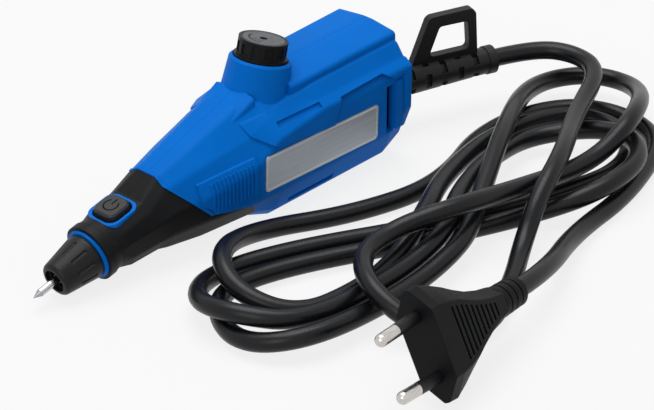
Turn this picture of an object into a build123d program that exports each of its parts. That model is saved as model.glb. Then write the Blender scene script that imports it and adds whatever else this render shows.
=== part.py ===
# Electric engraver: a hand-held vibrating needle tool on a mains cord.
# Millimetres. +X runs from the needle to the tail, +Z is up, the table is z = 0.
import math
import os

from build123d import *

os.makedirs("parts", exist_ok=True)

# Overall sizes
LENGTH = 150.0              # needle point to rear face
TIP_HEIGHT = 5.0            # needle point above the table
NOSE_DIP = 13.0             # nose axis falls towards the point, degrees
WALL = 2.2                  # moulded wall of the shells
PARTING_GAP = 0.05          # line between the two halves
FIT = 0.1                   # clearance of seated pieces, each side
PRESS = 0.02                # clearance of pressed and screwed pieces, each side

# Outer body
BASE_HALF_WIDTH = 18.5      # side wall below the shoulders
SIDE_LOW = 12.0             # where the side wall turns into the lower slope
LOWER_SLOPE_Y = 15.2        # foot of the lower slope, above the belly's edge
LOWER_SLOPE_Z = 3.5
BELLY_HALF_WIDTH = 11.0     # flat that the tool rests on
TOP_HALF_WIDTH = 6.5        # flat along the top, under the plateau
SLOPE_HALF_WIDTH = 12.2     # where the top's slope turns towards the side wall
FRONT_TOP = 41.6            # heights of the top flat, its slope and the side wall at the front station
FRONT_SLOPE = 37.4
FRONT_SIDE = 31.2
REAR_TOP = 42.2             # the same at the rear bevel
REAR_SLOPE = 40.0
REAR_SIDE = 33.2
HEEL_X = 66.0               # the belly rises from here to the rear bevel
HEEL_LOWER = [(18.5, 17.0), (15.4, 8.0), (10.8, 2.2)]
REAR_CHAMFER = 1.4          # bevel round the rear face
REAR_INSET = 1.2            # the rear face is drawn in by this
TAIL_WALL = 3.0             # wall that closes the tail
CORNER_RADIUS = 4.0         # soft moulded edges of the body
GRIP_FLAT = 8.2             # height of the button flat above the nose axis
GRIP_FLAT_RISE = 0.5        # the flat is this much higher behind the button
GRIP_RADIUS = 2.4           # softer edges of the grip beside the button
NECK_RADIUS = 9.1
NECK_AT = 29.5              # distance of the neck's narrowest place from the point
NECK_FLARE = 0.3            # the neck is wider by this in the collar
NECK_LAP = 0.6              # and reaches this far into it
NECK_ROUNDING = 0.9         # corners of the neck, as a share of its radius
# Half outlines of the grip from the top round to the belly: square to the nose axis, then square to X
BUTTON_FRONT = 3.2          # first outline lies this far before the middle of the button
BUTTON_FRONT_HALF = [(5.4, GRIP_FLAT), (8.4, 5.8), (9.7, 1.5), (9.5, -4.2), (7.3, -8.2), (3.6, -9.5)]
BUTTON_BACK = 7.2           # second outline lies this far behind it
BUTTON_BACK_HALF = [
    (5.6, GRIP_FLAT + GRIP_FLAT_RISE), (8.9, 6.0), (10.8, 1.0), (10.7, -5.2), (8.4, -9.2), (4.6, -10.7),
]
GRIP_X = -26.5
GRIP_HALF = [(4.0, 28.5), (8.3, 25.3), (12.2, 18.0), (12.2, 11.0), (9.3, 5.6), (5.9, 3.7)]
PAD_X = -14.0
PAD_HALF = [(4.8, 33.0), (10.3, 28.4), (14.6, 20.0), (14.6, 11.5), (11.2, 5.0), (7.4, 2.6)]
RAMP_X = 6.0
RAMP_HALF = [(5.8, 40.2), (13.4, 32.4), (18.3, 25.0), (18.3, SIDE_LOW), (14.4, 6.0), (9.2, 2.6)]
FRONT_X = 15.0              # front station of the housing

# Raised shoulders, hump, plateau and boss
SHOULDER_FRONT_HALVES = [   # the shoulders grow out of the body through these stations
    (4.0, [(9.0, 36.4), (13.4, 32.3), (18.5, 24.8), (18.5, 20.0), (9.0, 16.0)]),
    (14.0, [(11.5, 37.6), (13.4, 36.2), (19.1, 30.9), (19.1, 20.0), (9.0, 16.0)]),
    (19.0, [(11.6, 38.4), (13.6, 36.9), (19.3, 31.8), (19.3, 20.0), (9.0, 16.0)]),
]
SHOULDER_WALL = 14.0        # side wall of the shoulders, down from their edge
SHOULDER_FOOT = 20.0        # they end inside the body, this far below the edge
SHOULDER_HALF_WIDTH = 19.5
SHOULDER_EDGE = 34.2        # height where the shoulder turns down
SHOULDER_KNEE_Y = 16.3      # the slope is hollow here, between plateau and edge
SHOULDER_KNEE_Z = 36.6
SHOULDER_RADIUS = 2.0
SHOULDER_KNEE_RADIUS = 4.0
SHOULDER_FULL = 34.0        # the shoulders have their full width from here
SHOULDER_FRONT_TOP = 39.7   # foot of the plateau step at x = 0
SHOULDER_REAR_TOP = 41.5    # the same at the rear bevel
HUMP_FRONT = -1.5           # raised saddle between the ramp and the boss
HUMP_FRONT_HALF = [(4.0, 37.2), (8.0, 34.6), (8.4, 28.0)]
HUMP_BACK = 12.8
HUMP_BACK_HALF = [(5.0, 42.8), (8.6, 42.0), (9.0, 34.0)]
HUMP_RADIUS = 1.2
# Side outline of the raised shoulders: the lower panel line, then round over the top
PANEL_LINE = [
    (4.2, 38.5), (6.1, 32.8), (13.7, 27.9), (38.4, 26.3), (41.7, 34.8), (62.1, 35.2), (67.0, 31.8),
    (80.0, 33.7), (80.0, 60.0), (34.3, 60.0),
]
DASH_FRONT = (15.8, 15.8, 34.1)   # ends of the shallow mark on each shoulder slope
DASH_BACK = (33.4, 17.8, 35.15)
DASH_FACING = (0.0, 0.62, 0.78)
DASH_WIDTH = 2.0
DASH_DEPTH = 0.6
# The plateau behind the boss: station, half width and height of its edges
PLATEAU_STATIONS = [(26.0, 11.8, 42.5), (30.0, 12.3, 42.8), (75.0, 12.7, 44.0)]
PLATEAU_CROWN = 1.3         # the top is this much higher in the middle
PLATEAU_RIDGE = 2.0         # half width of the middle flat
PLATEAU_RIDGE_RADIUS = 8.0
PLATEAU_FOOT = 34.0         # the ridge reaches down into the body to this height
PLATEAU_FOOT_RADIUS = 1.0
PLATEAU_RADIUS = 1.4
PLATEAU_BEVEL = 1.0         # length of the bevel at the rear end
PLATEAU_BEVEL_DROP = 0.6
STEP_TAPER = 0.5            # the step below the plateau leans out by this much
KNOB_X = 24.4               # underside of the knob, on the mid-plane
KNOB_Z = 48.8
KNOB_LEAN = 14.4            # knob axis leans towards the tail, degrees
BOSS_RADIUS = 10.1          # at the rim
BOSS_FOOT_RADIUS = 11.4     # and where it runs into the body
BOSS_BEVEL = 0.7
BOSS_RIM = 0.4              # rim of the boss above the knob's underside
BOSS_DEPTH = 14.0
BOSS_FLOOR = 4.0            # thickness of the boss top

# Black grip and blue housing meet on this line, seen from the side
SEAM_LINE = [(-27.0, 46.0), (-26.6, 26.3), (-13.2, 13.2), (2.8, 10.7), (6.3, 6.5), (6.3, -6.0)]
SEAM_LIP = 0.8              # width of the lip along its upper part, each way
SEAM_LIP_PROUD = 0.35

# Nose pieces, as distances along the nose axis from the needle point
NEEDLE_RADIUS = 1.25
NEEDLE_POINT = 3.0          # ground length of the point
CAP_FRONT = 9.1
CAP_FRONT_RADIUS = 5.8
CAP_ROUNDING = 1.6          # rounded edge of the front, in straight steps
CAP_ROUNDING_STEPS = 4
CAP_RIM_RADIUS = 3.9        # the front is sunk inside this rim
CAP_RIM_DEPTH = 1.6
CAP_BACK = 22.9
CAP_BACK_RADIUS = 7.6
CAP_BACK_RIM = 1.2          # straight rim behind the flutes
CAP_FRONT_WALL = 1.9
CAP_BORE = 4.6
CAP_MOUTH = 3.4             # radius of the hole for the needle and its sleeve
CAP_THREAD_FRONT = 18.4
CAP_FLUTES = 10
FLUTE_RADIUS = 0.65
FLUTE_OUT = 0.25            # the middle of a flute lies this far outside the cap
FLUTE_FRONT = 14.4
FLUTE_BACK = 20.4
MOVING_GAP = 0.3            # clearance between pieces that move past each other
RING_FRONT = 23.2
RING_THICKNESS = 1.0
RING_RADIUS = 8.5
COLLAR_THICKNESS = 2.8
COLLAR_RADIUS = 9.6
SPIGOT_FRONT = 18.8
SPIGOT_RADIUS = 5.2
BUSH_RADIUS = 4.0
BUSH_BACK = 31.0
ROD_RADIUS = 1.5
RUNNING = 0.15              # radial running clearance of the rod and the spindle
CHUCK_NOSE_FRONT = 10.4     # sleeve of the chuck that fills the cap's mouth
CHUCK_NOSE_RADIUS = 1.6
CHUCK_FRONT = 16.1
CHUCK_BACK = 22.6
CHUCK_RADIUS = 2.7
NEEDLE_BACK = 21.6
GRUB_AT = 18.8              # grub screw that holds the needle in the chuck
GRUB_RADIUS = 0.9

# Button and switch, in the nose frame
BUTTON_AT = 36.6
BUTTON_LENGTH = 9.4
BUTTON_WIDTH = 9.2
BUTTON_TOP = 10.6
BUTTON_CORNER = 2.6
BUTTON_BEVEL = 0.6
BUTTON_CLEARANCE = 0.8      # sunk gap all round the button, inside the bezel
BUTTON_LIP = 1.1            # lip under the bezel that keeps the button in
LIP_LOW = 5.8
LIP_HIGH = 6.4
STEM_RADIUS = 1.4
STEM_BOTTOM = 4.3
BEZEL_RIM = 0.95
BEZEL_BOTTOM = 6.7
BEZEL_TOP = 8.65
SWITCH_FRONT = 33.6
SWITCH_BACK = 41.4
SWITCH_HALF_WIDTH = 6.0
SWITCH_BOTTOM = 1.9
SWITCH_TOP = 4.2
SWITCH_WELL = 1.6           # depth of the hole for the button stem
LEDGE = 1.4                 # height and depth of the ledges under the switch

# Electromagnet, in the nose frame
MAGNET_FRONT = 56.0
MAGNET_LENGTH = 24.0
FRAME_PLATE = 2.0
FRAME_HALF_WIDTH = 7.0
FRAME_TOP = 7.0
FRAME_BOTTOM = -11.7
FRAME_ROD_HOLE = 2.2
RIB_THICKNESS = 1.5         # moulded ribs that hold the frame at each end
RIB_INNER = 6.4
RIB_LOW = -11.0
RIB_HIGH = -1.0
COIL_RADIUS = 9.0
FLANGE_RADIUS = 9.5
BOBBIN_BORE = 4.3
BOBBIN_WALL = 1.2
BOBBIN_FLANGE = 1.5
PLUNGER_RADIUS = 4.0
PLUNGER_GROOVE = 3.4
PLUNGER_FRONT = 62.0
PLUNGER_BACK = 88.6
TAIL_RADIUS = 1.5
TAIL_BACK = 90.2
CLIP_AT = 87.2
CLIP_RADIUS = 7.2
CLIP_THICKNESS = 1.0
SPRING_RADIUS = 5.6
SPRING_WIRE = 0.45          # radius of the wire
SPRING_TURNS = 4

# Stroke knob and its eccentric stop, as depths below the knob's underside
KNOB_RADIUS = 8.0
KNOB_FLANGE_RADIUS = 8.7
KNOB_FLANGE = 1.2
KNOB_HEIGHT = 6.7
KNOB_PANELS = 12            # sunk panels round the side
PANEL_WIDTH = 2.9
PANEL_DEPTH = 0.55
PANEL_LOW = 2.0             # from this height above the knob's underside
PANEL_HIGH = 5.5
KNOB_GAP = 0.4
DISC_RADIUS = 6.8
DISC_THICKNESS = 0.6
DISC_HOLE = 1.3
SPINDLE_RADIUS = 3.0
SPINDLE_TOP = -4.2
SPINDLE_GROOVE = 2.55
SPINDLE_CLIP_AT = 10.1
SPINDLE_CLIP = 0.8
SPINDLE_CLIP_RADIUS = 4.6
SPINDLE_BUSH_RADIUS = 5.0
SPINDLE_BUSH_TOP = 0.8
SPINDLE_BUSH_BOTTOM = 9.8
BUSH_FLANGE_RADIUS = 6.6
BUSH_FLANGE = 1.5
ECCENTRIC_TOP = 19.0
ECCENTRIC_BOTTOM = 26.0
ECCENTRIC_RADIUS = 3.2
ECCENTRICITY = 0.8

# Label plates and finger pads on the sides
LABEL_X = 33.7
LABEL_Z = 19.6
LABEL_LENGTH = 52.4
LABEL_HEIGHT = 12.6
LABEL_THICKNESS = 0.8
LABEL_TILT = 1.6            # falls towards the tail, degrees
LABEL_CORNER = 1.5
PAD_OUTLINE = [(-16.8, 24.5), (4.4, 27.4), (4.4, 14.5), (-11.0, 13.4), (-16.8, 18.2)]
PAD_PROUD = 0.7
RIB_PROUD = 0.45
RIB_WIDTH = 0.6
RIB_COUNT = 12
RIB_FIRST_X = -12.6
RIB_PITCH = 1.4
RIB_MARGIN = 1.2            # ribs stop this far inside the pad's edge
TREAD_X = 30.5              # shallow groove on each lower slope
TREAD_Z = 5.5
TREAD_LENGTH = 21.0
TREAD_WIDTH = 2.0
TREAD_DEPTH = 0.7
VENT_X = 65.6
VENT_WIDTH = 3.2
VENT_LOW = 12.5
VENT_HIGH = 29.6
TAIL_RIB_X = (67.8, 71.0)   # upright rib behind the vent
TAIL_RIB_Y = (16.4, 19.3)
TAIL_RIB_Z = (13.0, 30.4)
BAND_FRONT = 71.4           # band round the sides of the rear end, bevelled at the front
BAND_FULL = 72.8
BAND_FRONT_HALF = [(16.4, 35.4), (18.4, 33.6), (18.4, 17.5), (15.4, 9.4)]
BAND_FULL_HALF = [(16.8, 36.0), (19.6, 34.0), (19.4, 18.6), (16.3, 10.2)]
BAND_RADIUS = 1.2

# Supply: board, clamp and wires
CORD_RADIUS = 3.1
CORD_Z = 17.0               # height of the cord inside the tail
BOARD_X = (34.0, 52.0)
BOARD_Z = 24.0
BOARD_THICKNESS = 1.6
BOARD_HALF_WIDTH = 16.0
SHELF_DEPTH = 2.5
SHELF_THICKNESS = 1.6
TERMINAL_X = (43.0, 50.5)
TERMINAL_HALF_WIDTH = 7.0
TERMINAL_HEIGHT = 5.5
CAPACITOR_X = (36.0, 42.5)
CAPACITOR_Y = (8.5, 14.0)
CAPACITOR_HEIGHT = 5.0
DIODE_X = 38.5
DIODE_Y = -11.0
DIODE_RADIUS = 1.35
DIODE_LENGTH = 5.2
DIODE_LEAD = 0.4
DIODE_SPAN = 8.4
INNER_CORD_FRONT = 57.5
CLAMP_X = (59.5, 65.5)
CLAMP_SPLIT = 0.2           # half the slit between clamp bar and saddle
CLAMP_THICKNESS = 5.0
CLAMP_HALF_WIDTH = 12.0
CLAMP_SCREW_Y = 8.5
CLAMP_SCREW_RADIUS = 1.25
CLAMP_SCREW_BOTTOM = 9.5
CLAMP_HEAD_RADIUS = 2.6
CLAMP_HEAD = 1.8
WIRE_RADIUS = 0.8
CORE_RADIUS = 1.1
CORE_SIDE = 1.5
CORE_RISE_X = 54.5
CORE_TOP_SIDE = 2.5
CORE_TOP_Z = 28.4
COIL_WIRE_UP = 3.0          # coil leads run this high above the nose axis
COIL_WIRE_SIDE = 8.2
COIL_WIRE_ROUTE = [(38.0, 2.0, 29.6), (28.0, 6.0, 31.0), (14.0, 8.2, 29.5)]
SWITCH_WIRE_UP = -6.5       # switch leads run below the axis, past the coil
SWITCH_WIRE_SIDE = 8.6
SWITCH_WIRE_ROUTE = [(26.0, 8.6, 24.0), (34.0, 5.2, 27.3)]
SWITCH_EXIT_UP = 3.0        # where the leads leave the switch
SWITCH_EXIT_SIDE = 4.5
SWITCH_EXIT_RUN = 5.1       # straight run behind the switch
SWITCH_DROP = (51.2, -3.9, 7.4)  # along, up and side of the turn towards the coil's flank
WIRE_LEAD_IN = 3.5          # the leads come into line this far before the magnet
WIRE_LEAD_OUT = 4.0         # wires turn this far behind the magnet
BEND_SHARE = 0.45           # share of the shorter run that a bend takes up

# Housing screws: places on the side view and the depth of the head's seat
SCREW_PLACES = [
    (-28.0, 8.4, 4.5), (14.0, 6.6, 7.0), (44.0, 6.6, 8.0), (39.0, 36.0, 8.0), (67.0, 34.0, 9.0),
]
SCREW_RADIUS = 1.45
SCREW_LENGTH = 14.0
SCREW_HEAD_RADIUS = 2.8
SCREW_HEAD = 2.0
SCREW_SLOT = 0.8
POST_RADIUS = 4.2

# Strain relief: a rubber sleeve that leaves the tail, turns aside and carries a hanging loop
RELIEF_FLANGE_RADIUS = 7.5
RELIEF_FLANGE = 2.1
RELIEF_ROOT_RADIUS = 5.6
RELIEF_BEND_RADIUS = 28.0
RELIEF_TURN = 20.0          # degrees towards -Y
RELIEF_STRAIGHT = 39.0
RELIEF_END_RADIUS = 4.5
RELIEF_COLLAR_RADIUS = 4.9
RELIEF_COLLAR = 3.0
RELIEF_SLOTS = 5
RELIEF_SLOT_FIRST = 6.0
RELIEF_SLOT_PITCH = 6.2
RELIEF_SLOT_WIDTH = 2.2
RELIEF_SLOT_DEPTH = 1.4
RELIEF_WEB = 3.0
LOOP_THICKNESS = 3.0
LOOP_OUTLINE = [(5.5, 18.0), (7.6, 23.0), (13.7, 38.7), (30.2, 38.7), (31.5, 36.8), (32.6, 18.0)]
LOOP_RADII = [0.5, 3.0, 2.5, 2.0, 2.0, 0.5]
LOOP_EYE = [(13.6, 24.1), (17.7, 34.6), (28.4, 34.4), (29.2, 24.0)]
LOOP_EYE_RADIUS = 1.5

# Flat two-pin plug lying on edge on the cord
PLUG_FACE = (-29.4, -118.0, 18.3)
PLUG_HEADING = 186.4        # direction of the pins in plan, degrees
PLUG_PITCH = 5.2            # pins point slightly up
PLUG_ROLL = 60.4            # wide side turned down from level
PLUG_WIDTH = 35.3
PLUG_THICKNESS = 13.7
PLUG_FLAT = 21.0            # length of the face's two parallel sides
PLUG_BLUNT = 2.0            # width of its blunt ends
PLUG_CORNER = 0.9
PLUG_DRAFT = 0.25           # the face is drawn in by this on each end
PLUG_FLANGE = 4.0           # widest place, behind the face
# Sections of the taper: distance behind the face, width, flat length, thickness
PLUG_TAPER = [
    (9.0, 31.2, 19.5, 13.7), (14.0, 26.4, 17.0, 13.3), (18.0, 21.8, 13.6, 12.9), (23.0, 16.9, 10.0, 12.4),
    (29.0, 13.2, 7.0, 11.6), (34.0, 11.4, 5.6, 10.9),
]
PLUG_NECK = 46.0            # end of the ringed neck
PLUG_NECK_RADIUS = 4.2
PLUG_RING_RADIUS = 5.2
PLUG_RING_END_RADIUS = 4.8
PLUG_RINGS = 4
PLUG_RING_WIDTH = 2.3
PLUG_GROOVES = 10           # grip grooves across the flat sides of the taper
PLUG_GROOVE_FIRST = 8.6
PLUG_GROOVE_PITCH = 2.2
PLUG_GROOVE_WIDTH = 0.9
PLUG_GROOVE_DEPTH = 0.7
PLUG_GROOVE_MARGIN = 1.6    # grooves stop this far inside the flat sides
PIN_PITCH = 18.6
PIN_TOE_IN = 1.66           # each pin leans inwards, degrees
PIN_LENGTH = 19.0
PIN_RADIUS = 2.0
PIN_CORE_RADIUS = 1.5
PIN_SLEEVE = 10.0
PIN_ROOT = 8.0

# Route of the cord from the strain relief to the plug, as it lies in loose loops on the table
CORD_LEAVE = 16.8           # straight run out of the strain relief
CORD_ARRIVE = 18.0          # straight run into the plug
CORD_ROUTE = [
    (143.5, -33.5, 17), (139.5, -47, 16.5), (111, -59.5, 16), (81, -78, 20.5), (63, -84, 16.5),
    (50, -88, 4.5), (32, -99, 3.2), (7, -110, 3.2), (-11, -98, 7.5), (-12, -80, 14), (0, -65, 14),
    (18, -63, 14.5),
    (33, -73, 19.5), (63, -75, 14.5), (99, -77, 9.5), (119, -79, 21), (153, -55, 8), (151, -34, 7),
    (132, -23, 6), (89, -48, 18), (52, -68, 10.5), (34, -78, 8.5), (4, -80, 4.5), (-38, -80, 8),
    (-50, -60, 3.2), (-36, -37, 3.2), (-13, -38.5, 3.2), (32, -61, 3.2), (66, -76, 3.2), (85, -92, 11),
    (113, -88, 11), (122, -69, 10.5), (108, -45, 4.5), (80, -49, 8.5), (52, -59, 10.5), (34, -71, 10),
    (8, -73, 6), (-33, -73, 8.5), (-47, -58, 11.5), (-46, -39, 8), (-27, -27, 3.2), (1, -35.5, 3.2),
    (40, -57, 3.2), (80, -73, 3.2), (110, -81, 3.2), (133, -67, 3.2), (130, -44, 4), (98, -37, 6.5),
    (60, -47, 10), (34, -61, 12), (18, -65, 5), (-1, -67, 3.2), (-26, -64, 3.5), (-35, -47, 8.5),
    (-27, -30, 13), (1, -20, 4), (30, -35, 3.2), (63, -43, 3.2), (103, -28, 3.2), (139, -41, 3.2),
    (140, -76, 3.2), (101, -91, 3.2), (68, -94, 3.2),
]
GAP_STEP = 1.5              # spacing of the points on which the cord's gap to itself is measured
GAP_NEIGHBOURS = 8          # points nearer along the cord than this many radii belong to one bend

tip_x = -LENGTH / 2
rear_x = LENGTH / 2
dip = math.radians(NOSE_DIP)
lean = math.radians(KNOB_LEAN)
collar_front = RING_FRONT + RING_THICKNESS
collar_back = collar_front + COLLAR_THICKNESS
magnet_back = MAGNET_FRONT + MAGNET_LENGTH
shoulder_rise = (SHOULDER_REAR_TOP - SHOULDER_FRONT_TOP) / (rear_x - REAR_CHAMFER)
HUGE = 4 * LENGTH

# The nose frame: local x is up, local z runs along the nose axis towards the tail
NOSE = Plane(
    origin=(tip_x, 0, TIP_HEIGHT),
    x_dir=(-math.sin(dip), 0, math.cos(dip)),
    z_dir=(math.cos(dip), 0, math.sin(dip)),
).location
# The knob frame: local z points up the knob axis from the knob's underside
KNOB = Plane(
    origin=(KNOB_X, 0, KNOB_Z),
    x_dir=(math.cos(lean), 0, -math.sin(lean)),
    z_dir=(math.sin(lean), 0, math.cos(lean)),
).location
# The button frame: local z points out of the button, local x runs along the nose axis
BUTTON = Plane(
    origin=(tip_x + BUTTON_AT * math.cos(dip), 0, TIP_HEIGHT + BUTTON_AT * math.sin(dip)),
    x_dir=(math.cos(dip), 0, math.sin(dip)),
    z_dir=(-math.sin(dip), 0, math.cos(dip)),
).location


def nose_point(along, up=0.0, side=0.0):
    """World point at a distance along the nose axis, a height above it and a sideways offset (+Y)."""
    x = tip_x + along * math.cos(dip) - up * math.sin(dip)
    z = TIP_HEIGHT + along * math.sin(dip) + up * math.cos(dip)
    return Vector(x, side, z)


def nose_rod(radius, front, back):
    """Cylinder on the nose axis between two distances from the point."""
    return NOSE * Pos(0, 0, (front + back) / 2) * Cylinder(radius, back - front)


def nose_box(low, high, half_width, front, back):
    """Box in the nose frame: heights, half width and distances along the axis."""
    place = Pos((low + high) / 2, 0, (front + back) / 2)
    return NOSE * place * Box(high - low, 2 * half_width, back - front)


def knob_rod(radius, top, bottom):
    """Cylinder on the knob axis between two depths below the knob's underside."""
    return KNOB * Pos(0, 0, -(top + bottom) / 2) * Cylinder(radius, bottom - top)


def block(x0, x1, y0, y1, z0, z1):
    """Box between two corners."""
    return Pos((x0 + x1) / 2, (y0 + y1) / 2, (z0 + z1) / 2) * Box(x1 - x0, y1 - y0, z1 - z0)


def side_prism(outline, y0, y1):
    """Side-view outline (x, z) carried across from y0 to y1."""
    flat = make_face(Polyline([(x, 0, z) for x, z in outline], close=True))
    solid = extrude(flat, amount=y1 - y0, dir=(0, 1, 0))
    return Pos(0, y0, 0) * solid


def rounded_outline(corners, radii):
    """Flat face with straight sides and a tangent arc at each corner, starting at the first corner."""
    starts, middles, ends = [], [], []
    count = len(corners)
    for i in range(count):
        here = Vector(*corners[i])
        back = (Vector(*corners[i - 1]) - here).normalized()
        ahead = (Vector(*corners[(i + 1) % count]) - here).normalized()
        half_angle = math.radians(back.get_angle(ahead)) / 2
        inward = (back + ahead).normalized()
        reach = radii[i] / math.tan(half_angle)
        starts.append(here + back * reach)
        ends.append(here + ahead * reach)
        middles.append(here + inward * (radii[i] / math.sin(half_angle) - radii[i]))
    edges = []
    for i in range(count):
        edges.append(ThreePointArc(starts[i], middles[i], ends[i]))
        edges.append(Line(ends[i], starts[(i + 1) % count]))
    return Face(Wire(edges))


def inset(corners, distance):
    """Convex outline with every side moved inwards by a distance."""
    count = len(corners)
    middle = sum((Vector(*c) for c in corners), Vector(0, 0)) / count
    lines = []
    for i in range(count):
        a = Vector(*corners[i])
        along = (Vector(*corners[(i + 1) % count]) - a).normalized()
        normal = Vector(-along.Y, along.X)
        if normal.dot(middle - a) < 0:
            normal = normal * -1
        lines.append((a + normal * distance, along))
    result = []
    for i in range(count):
        p, u = lines[i - 1]
        q, v = lines[i]
        cross = u.X * v.Y - u.Y * v.X
        gap = q - p
        step = (gap.X * v.Y - gap.Y * v.X) / cross
        hit = p + u * step
        result.append((hit.X, hit.Y))
    return result


def whole(half):
    """Both halves of an outline given from the top to the belly on the +Y side."""
    return half + [(-y, z) for y, z in reversed(half)]


def ring_half(radius):
    """Half outline of a twelve-sided ring drawn round a circle."""
    reach = radius / math.cos(math.radians(15))
    angles = (75, 45, 15, -15, -45, -75)
    return [(reach * math.cos(math.radians(a)), reach * math.sin(math.radians(a))) for a in angles]


def slice_plane(along=None, x=None):
    """Plane of a body section: square to the nose axis, or square to X."""
    if x is None:
        return Plane(origin=nose_point(along), x_dir=(0, 1, 0), z_dir=(math.cos(dip), 0, math.sin(dip)))
    return Plane(origin=(x, 0, 0), x_dir=(0, 1, 0), z_dir=(1, 0, 0))


def body_stations():
    """Body sections from the collar to the rear bevel: plane, half outline, corner radius."""
    lower = [(BASE_HALF_WIDTH, SIDE_LOW), (LOWER_SLOPE_Y, LOWER_SLOPE_Z), (BELLY_HALF_WIDTH, 0.0)]
    widths = (TOP_HALF_WIDTH, SLOPE_HALF_WIDTH, BASE_HALF_WIDTH)
    front_heights = (FRONT_TOP, FRONT_SLOPE, FRONT_SIDE)
    rear_heights = (REAR_TOP, REAR_SLOPE, REAR_SIDE)
    share = (HEEL_X - FRONT_X) / (rear_x - REAR_CHAMFER - FRONT_X)
    heel_heights = [front + share * (rear - front) for front, rear in zip(front_heights, rear_heights)]
    neck_radius = NECK_ROUNDING * NECK_RADIUS
    return [
        (slice_plane(along=collar_back - NECK_LAP), ring_half(NECK_RADIUS + NECK_FLARE), neck_radius),
        (slice_plane(along=NECK_AT), ring_half(NECK_RADIUS), neck_radius),
        (slice_plane(along=BUTTON_AT - BUTTON_FRONT), BUTTON_FRONT_HALF, GRIP_RADIUS),
        (slice_plane(along=BUTTON_AT + BUTTON_BACK), BUTTON_BACK_HALF, GRIP_RADIUS),
        (slice_plane(x=GRIP_X), GRIP_HALF, CORNER_RADIUS),
        (slice_plane(x=PAD_X), PAD_HALF, CORNER_RADIUS),
        (slice_plane(x=RAMP_X), RAMP_HALF, CORNER_RADIUS),
        (slice_plane(x=FRONT_X), list(zip(widths, front_heights)) + lower, CORNER_RADIUS),
        (slice_plane(x=HEEL_X), list(zip(widths, heel_heights)) + lower, CORNER_RADIUS),
        (slice_plane(x=rear_x - REAR_CHAMFER), list(zip(widths, rear_heights)) + HEEL_LOWER, CORNER_RADIUS),
    ]


def body_form(proud):
    """Sections of the outer body, each grown outwards by an amount."""
    faces = []
    for plane, half, radius in body_stations():
        corners = inset(whole(half), -proud)
        faces.append(plane.location * rounded_outline(corners, [radius] * len(corners)))
    return faces


def outer_body():
    """Whole outer form of housing and grip, before hollowing."""
    faces = body_form(0.0)
    plane, half, radius = body_stations()[-1]
    end_corners = inset(whole(half), REAR_INSET)
    end_plane = slice_plane(x=rear_x)
    faces.append(end_plane.location * rounded_outline(end_corners, [radius] * len(end_corners)))
    return loft(faces, ruled=True)


def cavity():
    """Hollow of the housing and grip, sharp-edged, closed by a wall at the tail and the solid neck."""
    sections = [(slice_plane(along=BUSH_BACK + 2 * FIT), whole(ring_half(NECK_RADIUS - WALL)))]
    for plane, half, radius in body_stations()[2:-1]:
        sections.append((plane, inset(whole(half), WALL)))
    rear_half = body_stations()[-1][1]
    sections.append((slice_plane(x=rear_x - TAIL_WALL), inset(whole(rear_half), WALL)))
    faces = [plane.location * make_face(Polyline(corners, close=True)) for plane, corners in sections]
    return loft(faces, ruled=True)


def panel(x, half, radii):
    """Rounded section square to X, from its half outline and the radius of each of its corners."""
    return slice_plane(x=x).location * rounded_outline(whole(half), radii + radii[::-1])


def plateau_at(x):
    """Half width and edge height of the plateau, even between its stations."""
    for front, back in zip(PLATEAU_STATIONS, PLATEAU_STATIONS[1:]):
        if x <= back[0]:
            break
    share = (x - front[0]) / (back[0] - front[0])
    return front[1] + share * (back[1] - front[1]), front[2] + share * (back[2] - front[2])


def shoulders():
    """Raised shoulder panels above the panel line, with a hollow slope beside the plateau."""
    radii = [SHOULDER_RADIUS, SHOULDER_KNEE_RADIUS, SHOULDER_RADIUS, SHOULDER_RADIUS, SHOULDER_RADIUS]
    faces = [panel(x, half, radii) for x, half in SHOULDER_FRONT_HALVES]
    for x, shrink in ((SHOULDER_FULL, 0.0), (rear_x - REAR_CHAMFER, 0.0), (rear_x, REAR_INSET)):
        step = plateau_at(x)[0] + STEP_TAPER
        half = [
            (step - shrink / 2, SHOULDER_FRONT_TOP + shoulder_rise * x - shrink),
            (SHOULDER_KNEE_Y - shrink / 2, SHOULDER_KNEE_Z - shrink / 2),
            (SHOULDER_HALF_WIDTH - shrink, SHOULDER_EDGE - shrink / 2),
            (SHOULDER_HALF_WIDTH - shrink, SHOULDER_EDGE - SHOULDER_WALL),
            (SLOPE_HALF_WIDTH, SHOULDER_EDGE - SHOULDER_FOOT),
        ]
        faces.append(panel(x, half, radii))
    return loft(faces, ruled=True) & side_prism(PANEL_LINE, -HUGE, HUGE)


def hump():
    """Raised saddle that carries the line of the ramp up to the boss."""
    radii = [HUMP_RADIUS] * len(HUMP_FRONT_HALF)
    places = ((HUMP_FRONT, HUMP_FRONT_HALF), (HUMP_BACK, HUMP_BACK_HALF))
    return loft([panel(x, half, radii) for x, half in places], ruled=True)


def plateau(shrink, front, rear):
    """Crowned ridge behind the boss, drawn in by an amount, between two stations."""
    radii = [PLATEAU_RIDGE_RADIUS, PLATEAU_RADIUS, PLATEAU_FOOT_RADIUS]
    bevel = rear - PLATEAU_BEVEL
    between = [station[0] for station in PLATEAU_STATIONS if front < station[0] < bevel]
    faces = []
    for x in [front] + between + [bevel, rear]:
        drop = shrink + PLATEAU_BEVEL_DROP * (x == rear)
        edge, top = plateau_at(x)
        half_width = edge - drop
        half = [
            (PLATEAU_RIDGE, top - drop + PLATEAU_CROWN), (half_width, top - drop),
            (half_width, PLATEAU_FOOT),
        ]
        faces.append(panel(x, half, radii))
    return loft(faces, ruled=True)


def tail_band():
    """Band round the sides of the rear end, with a bevelled front."""
    radii = [BAND_RADIUS] * len(BAND_FULL_HALF)
    places = ((BAND_FRONT, BAND_FRONT_HALF), (BAND_FULL, BAND_FULL_HALF), (rear_x, BAND_FULL_HALF))
    return loft([panel(x, half, radii) for x, half in places], ruled=True)


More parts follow.
